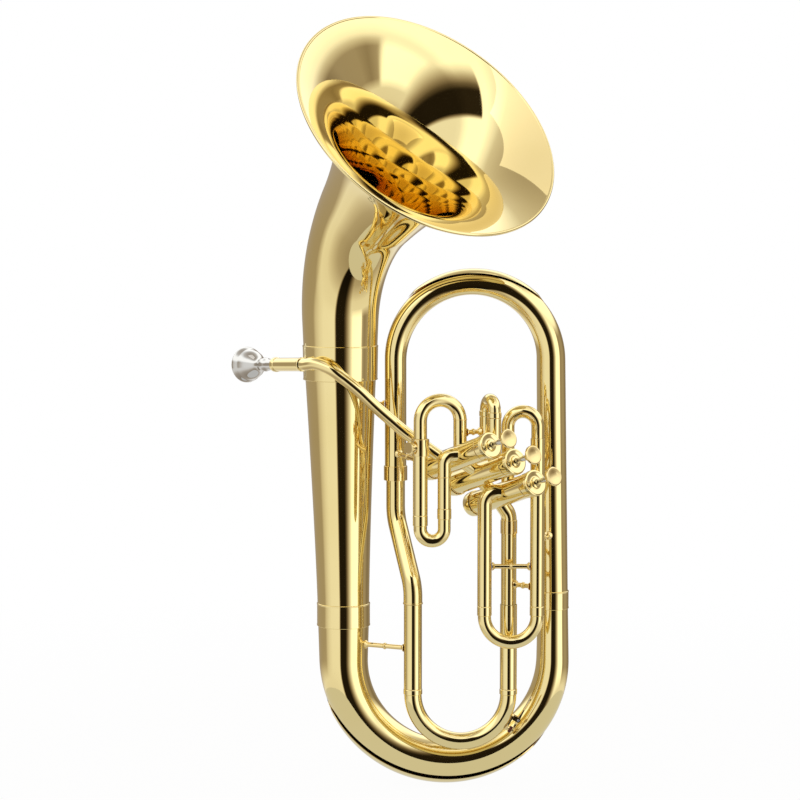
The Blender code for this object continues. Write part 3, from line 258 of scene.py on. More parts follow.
forward = Vector((math.sin(FORWARD_TURN), -math.cos(FORWARD_TURN), 0))
bell_axis = forward * math.cos(BELL_RISE) + Vector((0, 0, math.sin(BELL_RISE)))
foot = Vector((BELL_STEM_X, 0, BELL_JOINT_Z))
bend_start = foot + Vector((0, 0, STEM_LENGTH))
bend_centre = bend_start + forward * BEND_RADIUS
bend_normal = Vector((0, 0, 1)).cross(forward)
bend = [bend_centre + Matrix.Rotation((math.pi / 2 - BELL_RISE) * k / 40, 3, bend_normal)
        @ (bend_start - bend_centre) for k in range(1, 41)]
stem = [foot.lerp(bend_start, k / 8) for k in range(9)]
flare = [bend[-1] + bell_axis * FLARE_LENGTH * (1 - (1 - k / 60) ** 1.5) for k in range(1, 61)]
route = [*stem, *bend, *flare]
run = run_of(route)
radii = [bell_radius(run[-1] - r) for r in run]
rim_centre = route[-1]
bell = sweep("bell_flare", route, radii, MAIN_WALL, 160)
stands_for(bell, "bell")


def turned(name, profile, position, direction, material=lacquered_brass, sides=64, edge=0.0):
    """A closed profile of (radius, height) turned about a direction from a position."""
    direction = Vector(direction).normalized()
    across = direction.orthogonal().normalized()
    other = direction.cross(across)
    verts = []
    starts = []
    for radius, height in profile:
        starts.append(len(verts))
        steps = 1 if radius < 1e-7 else sides
        for k in range(steps):
            turn = 2 * math.pi * k / sides
            verts.append(position + direction * height + across * radius * math.cos(turn)
                         + other * radius * math.sin(turn))
    starts.append(len(verts))
    faces = []
    pairs = list(range(len(profile)))
    solid = profile[0][0] < 1e-7 and profile[-1][0] < 1e-7
    for a, b in zip(pairs, pairs[1:] if solid else [*pairs[1:], 0]):
        for k in range(sides):
            n = (k + 1) % sides
            size_a = starts[a + 1] - starts[a]
            size_b = starts[b + 1] - starts[b]
            corners = [starts[a] + k % size_a, starts[b] + k % size_b,
                       starts[b] + n % size_b, starts[a] + n % size_a]
            faces.append(tuple(dict.fromkeys(corners)))
    item = smooth_object(name, verts, faces, material)
    if edge:
        bevel = item.modifiers.new("softened edges", "BEVEL")
        bevel.width = edge
        bevel.segments = 3
        bevel.limit_method = "ANGLE"
        bevel.angle_limit = math.radians(35)
        bevel.harden_normals = True
    even = item.modifiers.new("flat faces stay flat", "WEIGHTED_NORMAL")
    even.keep_sharp = True
    return item


bead = [(RIM_RADIUS + BEAD_RADIUS * math.cos(2 * math.pi * k / 20),
         BEAD_RADIUS * (math.sin(2 * math.pi * k / 20) - 0.6)) for k in range(0, -20, -1)]
rim = turned("bell_rim_bead", bead, rim_centre, bell_axis, sides=160)
rim.parent = bell
rim.matrix_parent_inverse = bell.matrix_world.inverted()

# Ferrules of the large tubing
# Short turned rings that cover the joints between bell, branch and bows. Each has a
# fine raised line at its two edges.
FERRULE_THICKNESS = 0.5 * MM
FERRULE_LINE = 0.25 * MM


def ferrule(name, centre, half, low_radius, high_radius, cad_node, body="root"):
    """A ring round a joint, with a raised line at each edge."""
    low = low_radius + GAP / 2
    high = high_radius + GAP / 2
    line = 1.8 * MM
    outside = [(high + 0.2 * MM, half), (high + FERRULE_THICKNESS + FERRULE_LINE, half - 0.3 * MM),
               (high + FERRULE_THICKNESS + FERRULE_LINE, half - line + 0.4 * MM),
               (high + FERRULE_THICKNESS, half - line),
               (low + FERRULE_THICKNESS, -half + line),
               (low + FERRULE_THICKNESS + FERRULE_LINE, -half + line - 0.4 * MM),
               (low + FERRULE_THICKNESS + FERRULE_LINE, -half + 0.3 * MM), (low + 0.2 * MM, -half)]
    ring = turned(name, [*outside, (low, -half), (high, half)], centre, (0, 0, 1), sides=96,
                  edge=0.15 * MM)
    stands_for(ring, cad_node, body)
    return ring


BELL_FERRULE_HALF = 18 * MM
stem_run = run[-1]
bell_ring = ferrule("bell_ferrule_ring", Vector((BELL_STEM_X, 0, BELL_JOINT_Z)), BELL_FERRULE_HALF,
                    bell_radius(stem_run), bell_radius(stem_run - BELL_FERRULE_HALF),
                    "bell_ferrule")
ferrule("bow_ferrule_left_ring", Vector((-BOW_REACH, 0, LEFT_JOINT_Z)), 12 * MM,
        BRANCH_R_BASE + 0.15 * MM, BRANCH_R_BASE + 0.15 * MM, "bow_ferrule_left")
ferrule("bow_ferrule_right_ring", Vector((BOW_REACH, 0, RIGHT_JOINT_Z)), 9.5 * MM,
        TOP_R_END + 0.1 * MM, TOP_R_END + 0.1 * MM, "bow_ferrule_right")

# Top bow and right branch
# One long tapered tube, bent over at the top, that runs from the S-branch to the bottom
# bow. Its right leg leans out slightly.
TOP_REACH = 81 * MM
TOP_CENTRE = Vector((25.8 * MM, 0, 447.5 * MM))
TOP_R_LEFT = 11.25 * MM
TOP_R_CROWN = 13.0 * MM
TOP_R_RIGHT = 15.0 * MM
TOP_LEFT_JOINT_Z = 329 * MM
left_foot = Vector((TOP_CENTRE.x - TOP_REACH, 0, TOP_LEFT_JOINT_Z + GAP))
crown = bow(Vector((TOP_CENTRE.x - TOP_REACH, 0, 0)), Vector((TOP_CENTRE.x + TOP_REACH, 0, 0)),
            TOP_CENTRE.z, False, 64)
half = len(crown) // 2
radii = [TOP_R_LEFT]
for k in range(len(crown)):
    if k <= half:
        radii.append(TOP_R_LEFT + (TOP_R_CROWN - TOP_R_LEFT) * k / half)
    else:
        radii.append(TOP_R_CROWN + (TOP_R_RIGHT - TOP_R_CROWN) * (k - half) / half)
radii.append(TOP_R_END)
route = [left_foot, *crown, Vector((BOW_REACH, 0, RIGHT_JOINT_Z + 2 * GAP))]
stands_for(sweep("top_bow_tube", route, radii, MAIN_WALL, 64), "top_bow")

# Guard plates
# Thin shields soldered on the outside of the two bows where they are set down or
# knocked. Each ends in a point, and its edge catches a line of light.
GUARD_THICKNESS = 0.8 * MM
GUARD_CLEARANCE = 0.5 * MM
GUARD_FLATTENING = 1.18


def guard(name, centre, bend_radius, tube_radius, start, stop, wrap, sense, cad_node):
    """A pointed plate round the outside of a bow, measured from its lowest or highest point."""
    along = 96
    around = 24
    verts = []
    faces = []
    for lift in (0.0, GUARD_THICKNESS):
        for i in range(along + 1):
            u = i / along
            angle = math.radians(start + (stop - start) * u)
            width = math.radians(wrap) * max(0.02, math.sin(math.pi * u)) ** 0.45
            outward = Vector((math.sin(angle), 0, sense * math.cos(angle)))
            spine = centre + outward * bend_radius
            rise = min(1.0, 5 * math.sin(math.pi * u) + 0.05)
            radius = tube_radius(math.degrees(angle)) + (GUARD_CLEARANCE + lift) * rise
            for j in range(around + 1):
                turn = width * (2 * j / around - 1) / GUARD_FLATTENING
                round_radius = radius * GUARD_FLATTENING
                verts.append(spine + outward * (radius - round_radius * (1 - math.cos(turn)))
                             + Vector((0, round_radius * math.sin(turn), 0)))
    row = around + 1
    layer = row * (along + 1)
    for i in range(along):
        for j in range(around):
            a = i * row + j
            quad = (a, a + 1, a + row + 1, a + row)
            top = tuple(layer + c for c in quad)
            faces.append(quad if sense > 0 else quad[::-1])
            faces.append(top[::-1] if sense > 0 else top)
    border = ([j for j in range(row)] + [i * row + around for i in range(1, along + 1)]
              + [along * row + j for j in range(around - 1, -1, -1)]
              + [i * row for i in range(along - 1, 0, -1)])
    for a, b in zip(border, [*border[1:], border[0]]):
        quad = (b, a, layer + a, layer + b)
        faces.append(quad if sense > 0 else quad[::-1])
    plate = smooth_object(name, verts, faces, lacquered_brass)
    stands_for(plate, cad_node)


guard("bottom_guard_plate", Vector((0, 0, BOW_CENTRE_Z)), BOW_REACH,
      lambda angle: bow_radius((90 - angle) / 180), -71, 52, 50, -1, "bottom_bow_guard")
guard("top_guard_plate", TOP_CENTRE, TOP_REACH,
      lambda angle: TOP_R_CROWN + (TOP_R_RIGHT - TOP_R_CROWN) * max(angle, 0) / 90,
      -46, 50, 50, 1, "top_bow_guard")

# S-branch
# A short tube that leads from the top bow's left leg forward and across to the tuning
# slide, with a ferrule round the upper joint.
S_R = 9.8 * MM
SLIDE_WALL = 0.6 * MM


def rounded(corners, radius, count=16):
    """A route through corners, with an arc of one radius at each inner corner."""
    route = [corners[0]]
    for before, corner, after in zip(corners, corners[1:], corners[2:]):
        into = (corner - before).normalized()
        out = (after - corner).normalized()
        angle = into.angle(out)
        start = corner - into * radius * math.tan(angle / 2)
        centre = start + (out - into * into.dot(out)).normalized() * radius
        axis = into.cross(out).normalized()
        route += [centre + Matrix.Rotation(angle * k / count, 3, axis) @ (start - centre)
                  for k in range(count + 1)]
    return [*route, corners[-1]]


left_x = left_foot.x / MM
route = rounded([at(left_x, 0, 328.7), at(left_x, 0, 284), at(-37.2, -35, 214),
                 at(-37.2, -35, 196.3)], 42 * MM)
branch = sweep("s_branch_tube", route, S_R, MAIN_WALL)
stands_for(branch, "s_branch")


def collar(name, place, low, high, radius, direction=(0, 0, 1), material=fine_brass):
    """A plain turned ring round a small tube, with softened edges."""
    inner = radius - 0.6 * MM
    return turned(name, [(radius, high), (radius, low), (inner, low), (inner, high)], place,
                  direction, material, 48, 0.35 * MM)


def carried(piece, holder):
    """The piece goes wherever its holder goes."""
    piece.parent = holder
    piece.matrix_parent_inverse = holder.matrix_world.inverted()


carried(collar("s_branch_collar", at(left_x, 0, 329), -7.5 * MM, 7.5 * MM, 12.3 * MM), branch)
carried(collar("s_branch_foot_line", at(-37.2, -35, 196.2), 0, 1.6 * MM, 10.3 * MM), branch)

# Tuning slide
# Two plain outer tubes and a U of slightly smaller tube whose legs run up inside them.
# Where it comes out, each leg wears a longer ferrule.
TUNING_LEFT = at(-37.2, -35, 0)
TUNING_RIGHT = at(62.0, -35, 0)
TUNING_MOUTH_Z = 107.5 * MM
TUNING_LEG_TOP_Z = 196 * MM
TUNING_CENTRE_Z = 101.5 * MM


def outer_leg(name, place, low, high, radius, cad_node):
    """A straight outer slide tube."""
    bore = radius - SLIDE_WALL
    tube = turned(name, [(radius, high), (radius, low), (bore, low), (bore, high)], place,
                  (0, 0, 1), sides=48, edge=0.2 * MM)
    stands_for(tube, cad_node)
    return tube


def inner_radius(outer):
    return outer - SLIDE_WALL - 0.35 * MM


def slide(name, left, right, mouths, inserts, centre_z, crook_radii, inner_radii, ferrule_length,
          down, cad_node, body):
    """A U of tube with thin inner legs and a ferrule at each mouth."""
    sign = 1 if down else -1
    start = Vector((left.x, left.y, mouths[0] + sign * inserts[0]))
    end = Vector((right.x, right.y, mouths[1] + sign * inserts[1]))
    flat_left = Vector((left.x, left.y, 0))
    flat_right = Vector((right.x, right.y, 0))
    mouth_left = Vector((left.x, left.y, mouths[0] - sign * GAP))
    mouth_right = Vector((right.x, right.y, mouths[1] - sign * GAP))
    step = Vector((0, 0, -sign))
    crook = bow(flat_left, flat_right, centre_z, down, 56)
    count = len(crook)
    taper = [crook_radii[0] + (crook_radii[1] - crook_radii[0]) * k / (count - 1)
             for k in range(count)]
    wide = (crook_radii[0] + 0.7 * MM, crook_radii[1] + 0.7 * MM)
    long = ferrule_length
    route = [start, mouth_left, mouth_left + step * 0.05 * MM, mouth_left + step * 0.6 * MM,
             mouth_left + step * (long - 0.5 * MM), mouth_left + step * long]
    radii = [inner_radii[0], inner_radii[0], wide[0] - 0.4 * MM, wide[0], wide[0], crook_radii[0]]
    kept = [(p, r) for p, r in zip(crook, taper)
            if (p.z - mouth_left.z) * -sign > long + 0.5 * MM
            and (p.z - mouth_right.z) * -sign > long + 0.5 * MM]
    route += [p for p, r in kept]
    radii += [r for p, r in kept]
    route += [mouth_right + step * long, mouth_right + step * (long - 0.5 * MM),
              mouth_right + step * 0.6 * MM, mouth_right + step * 0.05 * MM, mouth_right, end]
    radii += [crook_radii[1], wide[1], wide[1], wide[1] - 0.4 * MM, inner_radii[1],
              inner_radii[1]]
    piece = sweep(name, route, radii, SLIDE_WALL)
    stands_for(piece, cad_node, body)
    return piece


outer_leg("tuning_leg_left_tube", TUNING_LEFT, TUNING_MOUTH_Z, TUNING_LEG_TOP_Z, 9.4 * MM,
          "tuning_leg_left")
outer_leg("tuning_leg_right_tube", TUNING_RIGHT, TUNING_MOUTH_Z, TUNING_LEG_TOP_Z, 8.8 * MM,
          "tuning_leg_right")
slide("tuning_slide_tube", TUNING_LEFT, TUNING_RIGHT,
      (TUNING_MOUTH_Z, TUNING_MOUTH_Z), (80 * MM, 80 * MM), TUNING_CENTRE_Z,
      (9.1 * MM, 8.5 * MM), (inner_radius(9.4 * MM), inner_radius(8.8 * MM)),
      5.8 * MM, True, "tuning_slide", "tuning_slide")

# Water key
# A small brass lever on the shoulder of the tuning slide. A spring holds its dark red
# cork on a nipple; pressing the long end lets the water out.

# Steel wire and pin: a dull grey glint, broad and without a mirror image.
steel = polished_metal("drawn spring steel", "B8B9BC", "8F9094", 0.28, 6, 0.02, 0.0)
KEY_TURN = math.radians(-30)
KEY_MIDDLE = at(12.4, -35, 101.5)
KEY_OUT = Vector((math.cos(KEY_TURN), 0, math.sin(KEY_TURN)))
KEY_ALONG = Vector((-math.sin(KEY_TURN), 0, math.cos(KEY_TURN)))
KEY_SURFACE = 58.7 * MM
KEY_CORK = -6.5
KEY_PIVOT = 6.5
KEY_PIN_HEIGHT = 6.8


def key_point(along, across, height):
    """A point on the water key, in millimetres along, across and above the tube."""
    return (KEY_MIDDLE + KEY_OUT * (KEY_SURFACE + height * MM) + KEY_ALONG * along * MM
            + Vector((0, across * MM, 0)))


def bar(name, stations, edge):
    """A bar of rectangular section through (along, across, half width, low, high) stations."""
    verts = []
    for along, across, half, low, high in stations:
        verts += [key_point(along, across - half, low), key_point(along, across + half, low),
                  key_point(along, across + half, high), key_point(along, across - half, high)]
    faces = [(0, 1, 2, 3), tuple(4 * len(stations) - k for k in (1, 2, 3, 4))]
    for s in range(len(stations) - 1):
        for k in range(4):
            n = (k + 1) % 4
            faces.append((4 * s + n, 4 * s + k, 4 * s + 4 + k, 4 * s + 4 + n))
    item = smooth_object(name, verts, faces, fine_brass)
    soft = item.modifiers.new("softened edges", "BEVEL")
    soft.width = edge * MM
    soft.segments = 3
    soft.limit_method = "ANGLE"
    soft.angle_limit = math.radians(35)
    soft.harden_normals = True
    return item


# Cork: dark red and matt, with small darker grains.
cork_material, tree, shader = new_material("dyed cork")
grain = node(tree, "ShaderNodeTexVoronoi", values={"Scale": 1 / (0.9 * MM)},
             links={"Vector": node(tree, "ShaderNodeTexCoord").outputs["Object"]})
fleck = node(tree, "ShaderNodeMix", {"data_type": "RGBA"}, {6: (*linear("6B2A1C"), 1),
             7: (*linear("3B140E"), 1)}, {0: grain.outputs["Distance"]})
rough = node(tree, "ShaderNodeBump", values={"Strength": 0.6, "Distance": 0.2 * MM},
             links={"Height": grain.outputs["Distance"]})
tree.links.new(fleck.outputs[2], shader.inputs["Base Color"])
tree.links.new(rough.outputs[0], shader.inputs["Normal"])
shader.inputs["Roughness"].default_value = 0.75

plate = []
for k in range(13):
    along = -9.5 + 19 * k / 12
    drop = along ** 2 / 2 / (KEY_SURFACE / MM)
    plate.append((along, 0, 3.4 * math.sqrt(max(0.12, 1 - (along / 10) ** 6)), -0.8 - drop,
                  1.2 - drop))
saddle = bar("water_key_plate", plate, 0.3)
stands_for(saddle, "water_key_saddle", "tuning_slide")
key_axis = key_point(0, 0, 1) - key_point(0, 0, 0)
nipple = turned("water_key_nipple", [
    (2.9 * MM, 0), (2.6 * MM, 1.5 * MM), (2.6 * MM, 2.9 * MM), (2.2 * MM, 3.2 * MM),
    (1.3 * MM, 3.2 * MM), (1.3 * MM, 0),
][::-1], key_point(KEY_CORK, 0, 0), key_axis, fine_brass, 32)
carried(nipple, saddle)
for side in (-1, 1):
    ear = []
    for k in range(-8, 9):
        reach = 2.5 * math.sin(math.pi * k / 16)
        ear.append((KEY_PIVOT + reach, side * 3.1, 0.5, 0.5,
                    KEY_PIN_HEIGHT + math.sqrt(max(0.0, 6.3 - reach ** 2))))
    carried(bar(f"water_key_post_{(side + 3) // 2}", ear, 0.15), saddle)
carried(turned("water_key_pin", [
    (0, 4.3 * MM), (0.9 * MM, 4.3 * MM), (1.2 * MM, 4.1 * MM), (1.2 * MM, 3.6 * MM),
    (0.8 * MM, 3.6 * MM), (0.8 * MM, -3.6 * MM), (1.2 * MM, -3.6 * MM), (1.2 * MM, -4.1 * MM),
    (0.9 * MM, -4.3 * MM), (0, -4.3 * MM),
], key_point(KEY_PIVOT, 0, KEY_PIN_HEIGHT), (0, 1, 0), steel, 24), saddle)

LEVER = ((-10.3, 0.6, 5.9, 7.2), (-9.6, 2.2, 5.9, 7.5), (-8.0, 3.2, 5.9, 7.7),
         (-6.5, 3.5, 5.9, 7.8), (-4.6, 3.1, 5.9, 7.9), (-2.5, 1.9, 5.9, 8.0),
         (0.0, 1.5, 5.8, 8.1), (4.2, 1.8, 5.4, 8.4), (6.5, 2.2, 5.2, 8.5), (8.8, 1.8, 5.4, 8.4),
         (13.0, 1.5, 6.0, 8.0), (20.0, 1.5, 6.0, 7.7), (24.0, 2.0, 6.0, 7.6),
         (27.0, 3.2, 6.0, 7.5), (30.0, 4.0, 6.1, 7.5), (33.0, 3.6, 6.3, 7.6),
         (34.5, 2.2, 6.5, 7.7), (35.0, 0.7, 6.6, 7.7))
lever = bar("water_key_arm", [(along, 0, half, low, high) for along, half, low, high in LEVER],
            0.35)
stands_for(lever, "water_key_lever", "water_key")
cork = turned("water_key_cork_disc", [
    (0, 5.8 * MM), (3.3 * MM, 5.8 * MM), (3.6 * MM, 5.4 * MM), (3.6 * MM, 3.7 * MM),
    (3.3 * MM, 3.4 * MM), (0, 3.4 * MM),
], key_point(KEY_CORK, 0, 0), key_axis, cork_material, 32)
stands_for(cork, "water_key_cork", "water_key")

# Valves
# Three piston valves lie side by side and point forward. Each is a casing of plain tube
# with a screwed cap at both ends; a nickel-plated piston slides in it on a coil spring,
# and a plain brass button on a thin stem presses it.
VALVE_AXIS = Vector((0.577, -0.758, 0.305)).normalized()
VALVE_FEET = (at(-22.6, -24.0, 335.8), at(2.6, -11.6, 318.0), at(23.6, -5.0, 295.7))
VALVE_LENGTH = 110 * MM
CASING_R = 12.25 * MM
CAP_R = 13.5 * MM
CAP_DEPTH = 12 * MM
STEM_R = 2.8 * MM
BUTTON_REACH = 30 * MM
BUTTON_R = 9.8 * MM

# Nickel plate: a warm grey with a softly blurred shine.
nickel = polished_metal("nickel plate on pistons", "D9D6CC", "C9C4B6", 0.14, 12, 0.02, 0.0)


def valve_point(index, t):
    return VALVE_FEET[index] + VALVE_AXIS * t


def ribs(profile_radius, low, high, count):
    """Fine turned rings on a cap's side, from its top down."""
    points = []
    for k in range(count):
        top = high - (high - low) * k / count
        pitch = (high - low) / count
        points += [(profile_radius - 0.25 * MM, top), (profile_radius, top - pitch * 0.25),
                   (profile_radius, top - pitch * 0.75)]
    return points


for index in range(3):
    number = index + 1
    foot = VALVE_FEET[index]
    bore = CASING_R - 1.0 * MM
    casing = turned(f"casing_{number}_tube", [
        (CASING_R, 107.5 * MM), (CASING_R, 2.5 * MM), (bore, 2.5 * MM), (bore, 107.5 * MM),
    ], foot, VALVE_AXIS, sides=72)
    stands_for(casing, f"valve_casing_{number}")
    for k, place in enumerate((CAP_DEPTH + 1.2 * MM, VALVE_LENGTH - CAP_DEPTH - 2.2 * MM)):
        carried(collar(f"casing_{number}_line_{k + 1}", foot, place, place + 1.0 * MM,
                       CASING_R + 0.5 * MM, VALVE_AXIS), casing)
    cap = turned(f"bottom_cap_{number}_cup", [
        (0, 2.2 * MM), (bore, 2.2 * MM), (CASING_R + GAP, 2.4 * MM), (CASING_R + GAP, CAP_DEPTH),
        (CAP_R - 0.3 * MM, CAP_DEPTH), (CAP_R, CAP_DEPTH - 0.4 * MM), (CAP_R, CAP_DEPTH - 3 * MM),
        (CAP_R - 0.5 * MM, CAP_DEPTH - 3.4 * MM), (CAP_R - 0.5 * MM, 4.4 * MM),
        (CAP_R - 1.0 * MM, 2.4 * MM), (CAP_R - 2.2 * MM, 0.9 * MM), (CAP_R - 4 * MM, 0.2 * MM),
        (4 * MM, 0), (0, 0),
    ], foot, VALVE_AXIS, sides=72)
    stands_for(cap, f"bottom_cap_{number}")
    hole = STEM_R + GAP
    top = VALVE_LENGTH
    lid = turned(f"top_cap_{number}_lid", [
        (hole, top + 1.5 * MM), (4.6 * MM, top + 1.5 * MM), (5.4 * MM, top + 1.1 * MM),
        (5.9 * MM, top - 0.6 * MM), (6.6 * MM, top - 0.9 * MM), (9.6 * MM, top - 0.7 * MM),
        (10.6 * MM, top - 0.1 * MM), (CAP_R - 1.4 * MM, top), (CAP_R - 0.5 * MM, top - 0.3 * MM),
        *ribs(CAP_R, top - 5 * MM, top - 0.8 * MM, 4), (CAP_R - 0.6 * MM, top - 5.4 * MM),
        (CAP_R - 0.6 * MM, top - CAP_DEPTH), (CASING_R + GAP, top - CAP_DEPTH),
        (CASING_R + GAP, top - 2.2 * MM), (hole, top - 2.2 * MM),
    ], foot, VALVE_AXIS, sides=72)
    stands_for(lid, f"top_cap_{number}")
    face = VALVE_LENGTH + BUTTON_REACH
    button = turned(f"button_{number}_disc", [
        (0, face - 0.7 * MM), (5 * MM, face - 0.5 * MM), (BUTTON_R - 1.6 * MM, face),
        (BUTTON_R - 0.5 * MM, face - 0.2 * MM), (BUTTON_R, face - 0.9 * MM),
        (BUTTON_R, face - 2.2 * MM), (BUTTON_R - 0.4 * MM, face - 2.8 * MM),
        (BUTTON_R - 2.2 * MM, face - 3.2 * MM), (4.4 * MM, face - 4.2 * MM),
        (3.8 * MM, face - 6 * MM), (3.6 * MM, face - 11 * MM), (0, face - 11 * MM),
    ], foot, VALVE_AXIS, fine_brass, sides=64)
    stands_for(button, f"finger_button_{number}", f"valve_{number}")
    for cad_name, finish in ((f"piston_{number}", nickel), (f"valve_spring_{number}", steel)):
        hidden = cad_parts[cad_name]
        hidden.data.materials.clear()
        hidden.data.materials.append(finish)

# Knuckles
# Very short tubes that lead the air from one casing to the next, soldered between them.
for name, first, second, t in (("knuckle_1_2", 0, 1, 52 * MM), ("knuckle_2_3", 1, 2, 44 * MM)):
    stands_for(sweep(f"{name}_tube", [valve_point(first, t), valve_point(second, t)], 6.9 * MM,
                     SLIDE_WALL), name)

# Leadpipe, receiver and mouthpiece
# The receiver takes the mouthpiece's tapered shank; from it the leadpipe snakes down
# past the bell branch and the top bow to the first valve. The mouthpiece is turned from
# bar and silver plated.
RECEIVER_MOUTH = at(-181.7, 15.0, 441.5)
RECEIVER_AXIS = Vector((0.578, -0.814, 0.060)).normalized()
RECEIVER_LENGTH = 52.8 * MM
MOUTHPIECE_REACH = 58 * MM
LEADPIPE_ROUTE = ((-136.8, -42.2, 446.4), (-122.2, -49.5, 441.5), (-107.9, -50.5, 431.5),
                  (-92.5, -50.5, 419.0), (-76.7, -50.0, 403.9), (-59.8, -49.0, 388.9),
                  (-42.4, -48.5, 374.2), (-22.4, -49.5, 360.4))


def flowing(points, count=12):
    """A smooth curve through given points."""
    route = []
    ends = [2 * points[0] - points[1], *points, 2 * points[-1] - points[-2]]
    for a, b, c, d in zip(ends, ends[1:], ends[2:], ends[3:]):
        for k in range(count):
            u = k / count
            route.append(0.5 * (2 * b + (c - a) * u + (2 * a - 5 * b + 4 * c - d) * u ** 2
                                + (3 * b - a - 3 * c + d) * u ** 3))
    return [*route, points[-1]]


# Silver plate: a near-white mirror, the only cold tone on the horn.
silver = polished_metal("silver plate", "D9D8D4", "C6C5C0", 0.05, 20, 0.02, 0.0)
start = RECEIVER_MOUTH + RECEIVER_AXIS * (RECEIVER_LENGTH + GAP)
route = [start, *flowing([start + RECEIVER_AXIS * 5 * MM, *[at(*p) for p in LEADPIPE_ROUTE],
                          valve_point(0, 35 * MM)])]
stands_for(sweep("leadpipe_tube", route, 6.2 * MM, 0.7 * MM), "leadpipe")
pipe_saddle = turned("leadpipe_saddle", [
    (0, 0), (4.6 * MM, 0), (4.0 * MM, 1.2 * MM), (2.7 * MM, 2.6 * MM), (2.4 * MM, 5 * MM),
    (2.8 * MM, 6.4 * MM), (0, 6.4 * MM),
][::-1], at(BELL_STEM_X / MM, -38.4, 432), (0, -1, 0), fine_brass, 40)
carried(pipe_saddle, bell_ring)
receiver = turned("receiver_tube", [
    (7.0 * MM, RECEIVER_LENGTH), (7.3 * MM, RECEIVER_LENGTH - 0.4 * MM),
    (7.3 * MM, RECEIVER_LENGTH - 3 * MM), (7.0 * MM, RECEIVER_LENGTH - 3.5 * MM),
    (7.0 * MM, 6 * MM), (7.6 * MM, 5.2 * MM), (7.8 * MM, 2.4 * MM), (7.6 * MM, 0.4 * MM),
    (7.2 * MM, 0), (5.7 * MM, 0), (5.1 * MM, 25 * MM), (5.5 * MM, RECEIVER_LENGTH),
], RECEIVER_MOUTH, RECEIVER_AXIS, sides=56)
stands_for(receiver, "mouthpiece_receiver")

RIM_RUN = 14


def rounded_rim(rim):
    """The soft rim of the mouthpiece, from its inner bite over to its outside."""
    return [((16.2 - 2.8 * math.cos(math.pi * k / RIM_RUN)) * MM,
             rim + (2.6 - 2.6 * math.sin(math.pi * k / RIM_RUN)) * MM)
            for k in range(RIM_RUN + 1)]


rim_place = -MOUTHPIECE_REACH
mouthpiece = turned("mouthpiece_turned", [
    (4.8 * MM, 24 * MM), (5.4 * MM, -1 * MM), (5.8 * MM, -10 * MM), (6.0 * MM, -13.5 * MM),
    (6.9 * MM, -15 * MM), (7.3 * MM, -18 * MM), (7.1 * MM, -22 * MM), (6.3 * MM, -25 * MM),
    (6.3 * MM, -29 * MM), (7.0 * MM, -31.6 * MM), (8.6 * MM, -34.2 * MM),
    (11.6 * MM, -37.5 * MM), (14.0 * MM, -41 * MM), (15.6 * MM, -45 * MM),
    (16.2 * MM, -48.4 * MM), (16.9 * MM, -50.4 * MM), (18.4 * MM, -52.6 * MM),
    *rounded_rim(rim_place)[::-1], (12.6 * MM, rim_place + 6 * MM),
    (11.4 * MM, rim_place + 11 * MM), (8.4 * MM, rim_place + 16 * MM),
    (4.6 * MM, rim_place + 21 * MM), (2.4 * MM, rim_place + 28 * MM), (3.7 * MM, 24 * MM),
][::-1], RECEIVER_MOUTH, RECEIVER_AXIS, silver, 96)
stands_for(mouthpiece, "mouthpiece", "mouthpiece")

# First valve loop
# Tube from the first casing up and over, down the outer leg, round its slide and back
# in through an elbow.
FIRST_LEFT = at(-30.0, -79.0, 0)
FIRST_RIGHT = at(-5.6, -79.0, 0)


def flat(point):
    """The point brought down to height zero."""
    return Vector((point.x, point.y, 0))


def up(z):
    return Vector((0, 0, z * MM))


entry = valve_point(0, 57.4 * MM)
route = [entry, *bow(flat(entry), FIRST_LEFT, 390.5 * MM, False), FIRST_LEFT + up(373.2)]
loop = sweep("first_upper_loop_tube", route, 6.8 * MM, SLIDE_WALL)
stands_for(loop, "first_upper_loop")
carried(collar("first_loop_line", flat(entry), 391 * MM, 392 * MM, 7.2 * MM), loop)
outer_leg("first_leg_left_tube", FIRST_LEFT, 295 * MM, 373 * MM, 7.5 * MM, "first_leg_left")
route = rounded([FIRST_RIGHT + up(302), FIRST_RIGHT + up(356.5), valve_point(0, 70 * MM)], 10 * MM)
elbow = sweep("first_lower_elbow", route, 6.8 * MM, SLIDE_WALL)
stands_for(elbow, "first_lower_tube")
carried(collar("first_elbow_line", FIRST_RIGHT, 333 * MM, 334.2 * MM, 7.5 * MM), elbow)
slide("first_slide_tube", FIRST_LEFT, FIRST_RIGHT, (295 * MM, 302 * MM), (35 * MM, 30 * MM),
      280.6 * MM, (6.9 * MM, 6.5 * MM), (inner_radius(7.5 * MM), inner_radius(6.8 * MM)),
      11 * MM, True, "first_slide", "first_slide")

# Second valve loop
# The shortest loop, two upright legs from the middle casing with a small slide on top.
SECOND_BACK = at(37.65, -52.5, 0)
SECOND_FRONT = at(45.35, -72.9, 0)
for name, place, low in (("second_leg_back", SECOND_BACK, 336),
                         ("second_leg_front", SECOND_FRONT, 342)):
    outer_leg(f"{name}_tube", place, low * MM, 393 * MM, 6.9 * MM, name)
slide("second_slide_tube", SECOND_BACK, SECOND_FRONT, (393 * MM, 393 * MM), (28 * MM, 28 * MM),
      400 * MM, (6.5 * MM, 6.5 * MM), (inner_radius(6.9 * MM), inner_radius(6.9 * MM)),
      6 * MM, False, "second_slide", "second_slide")

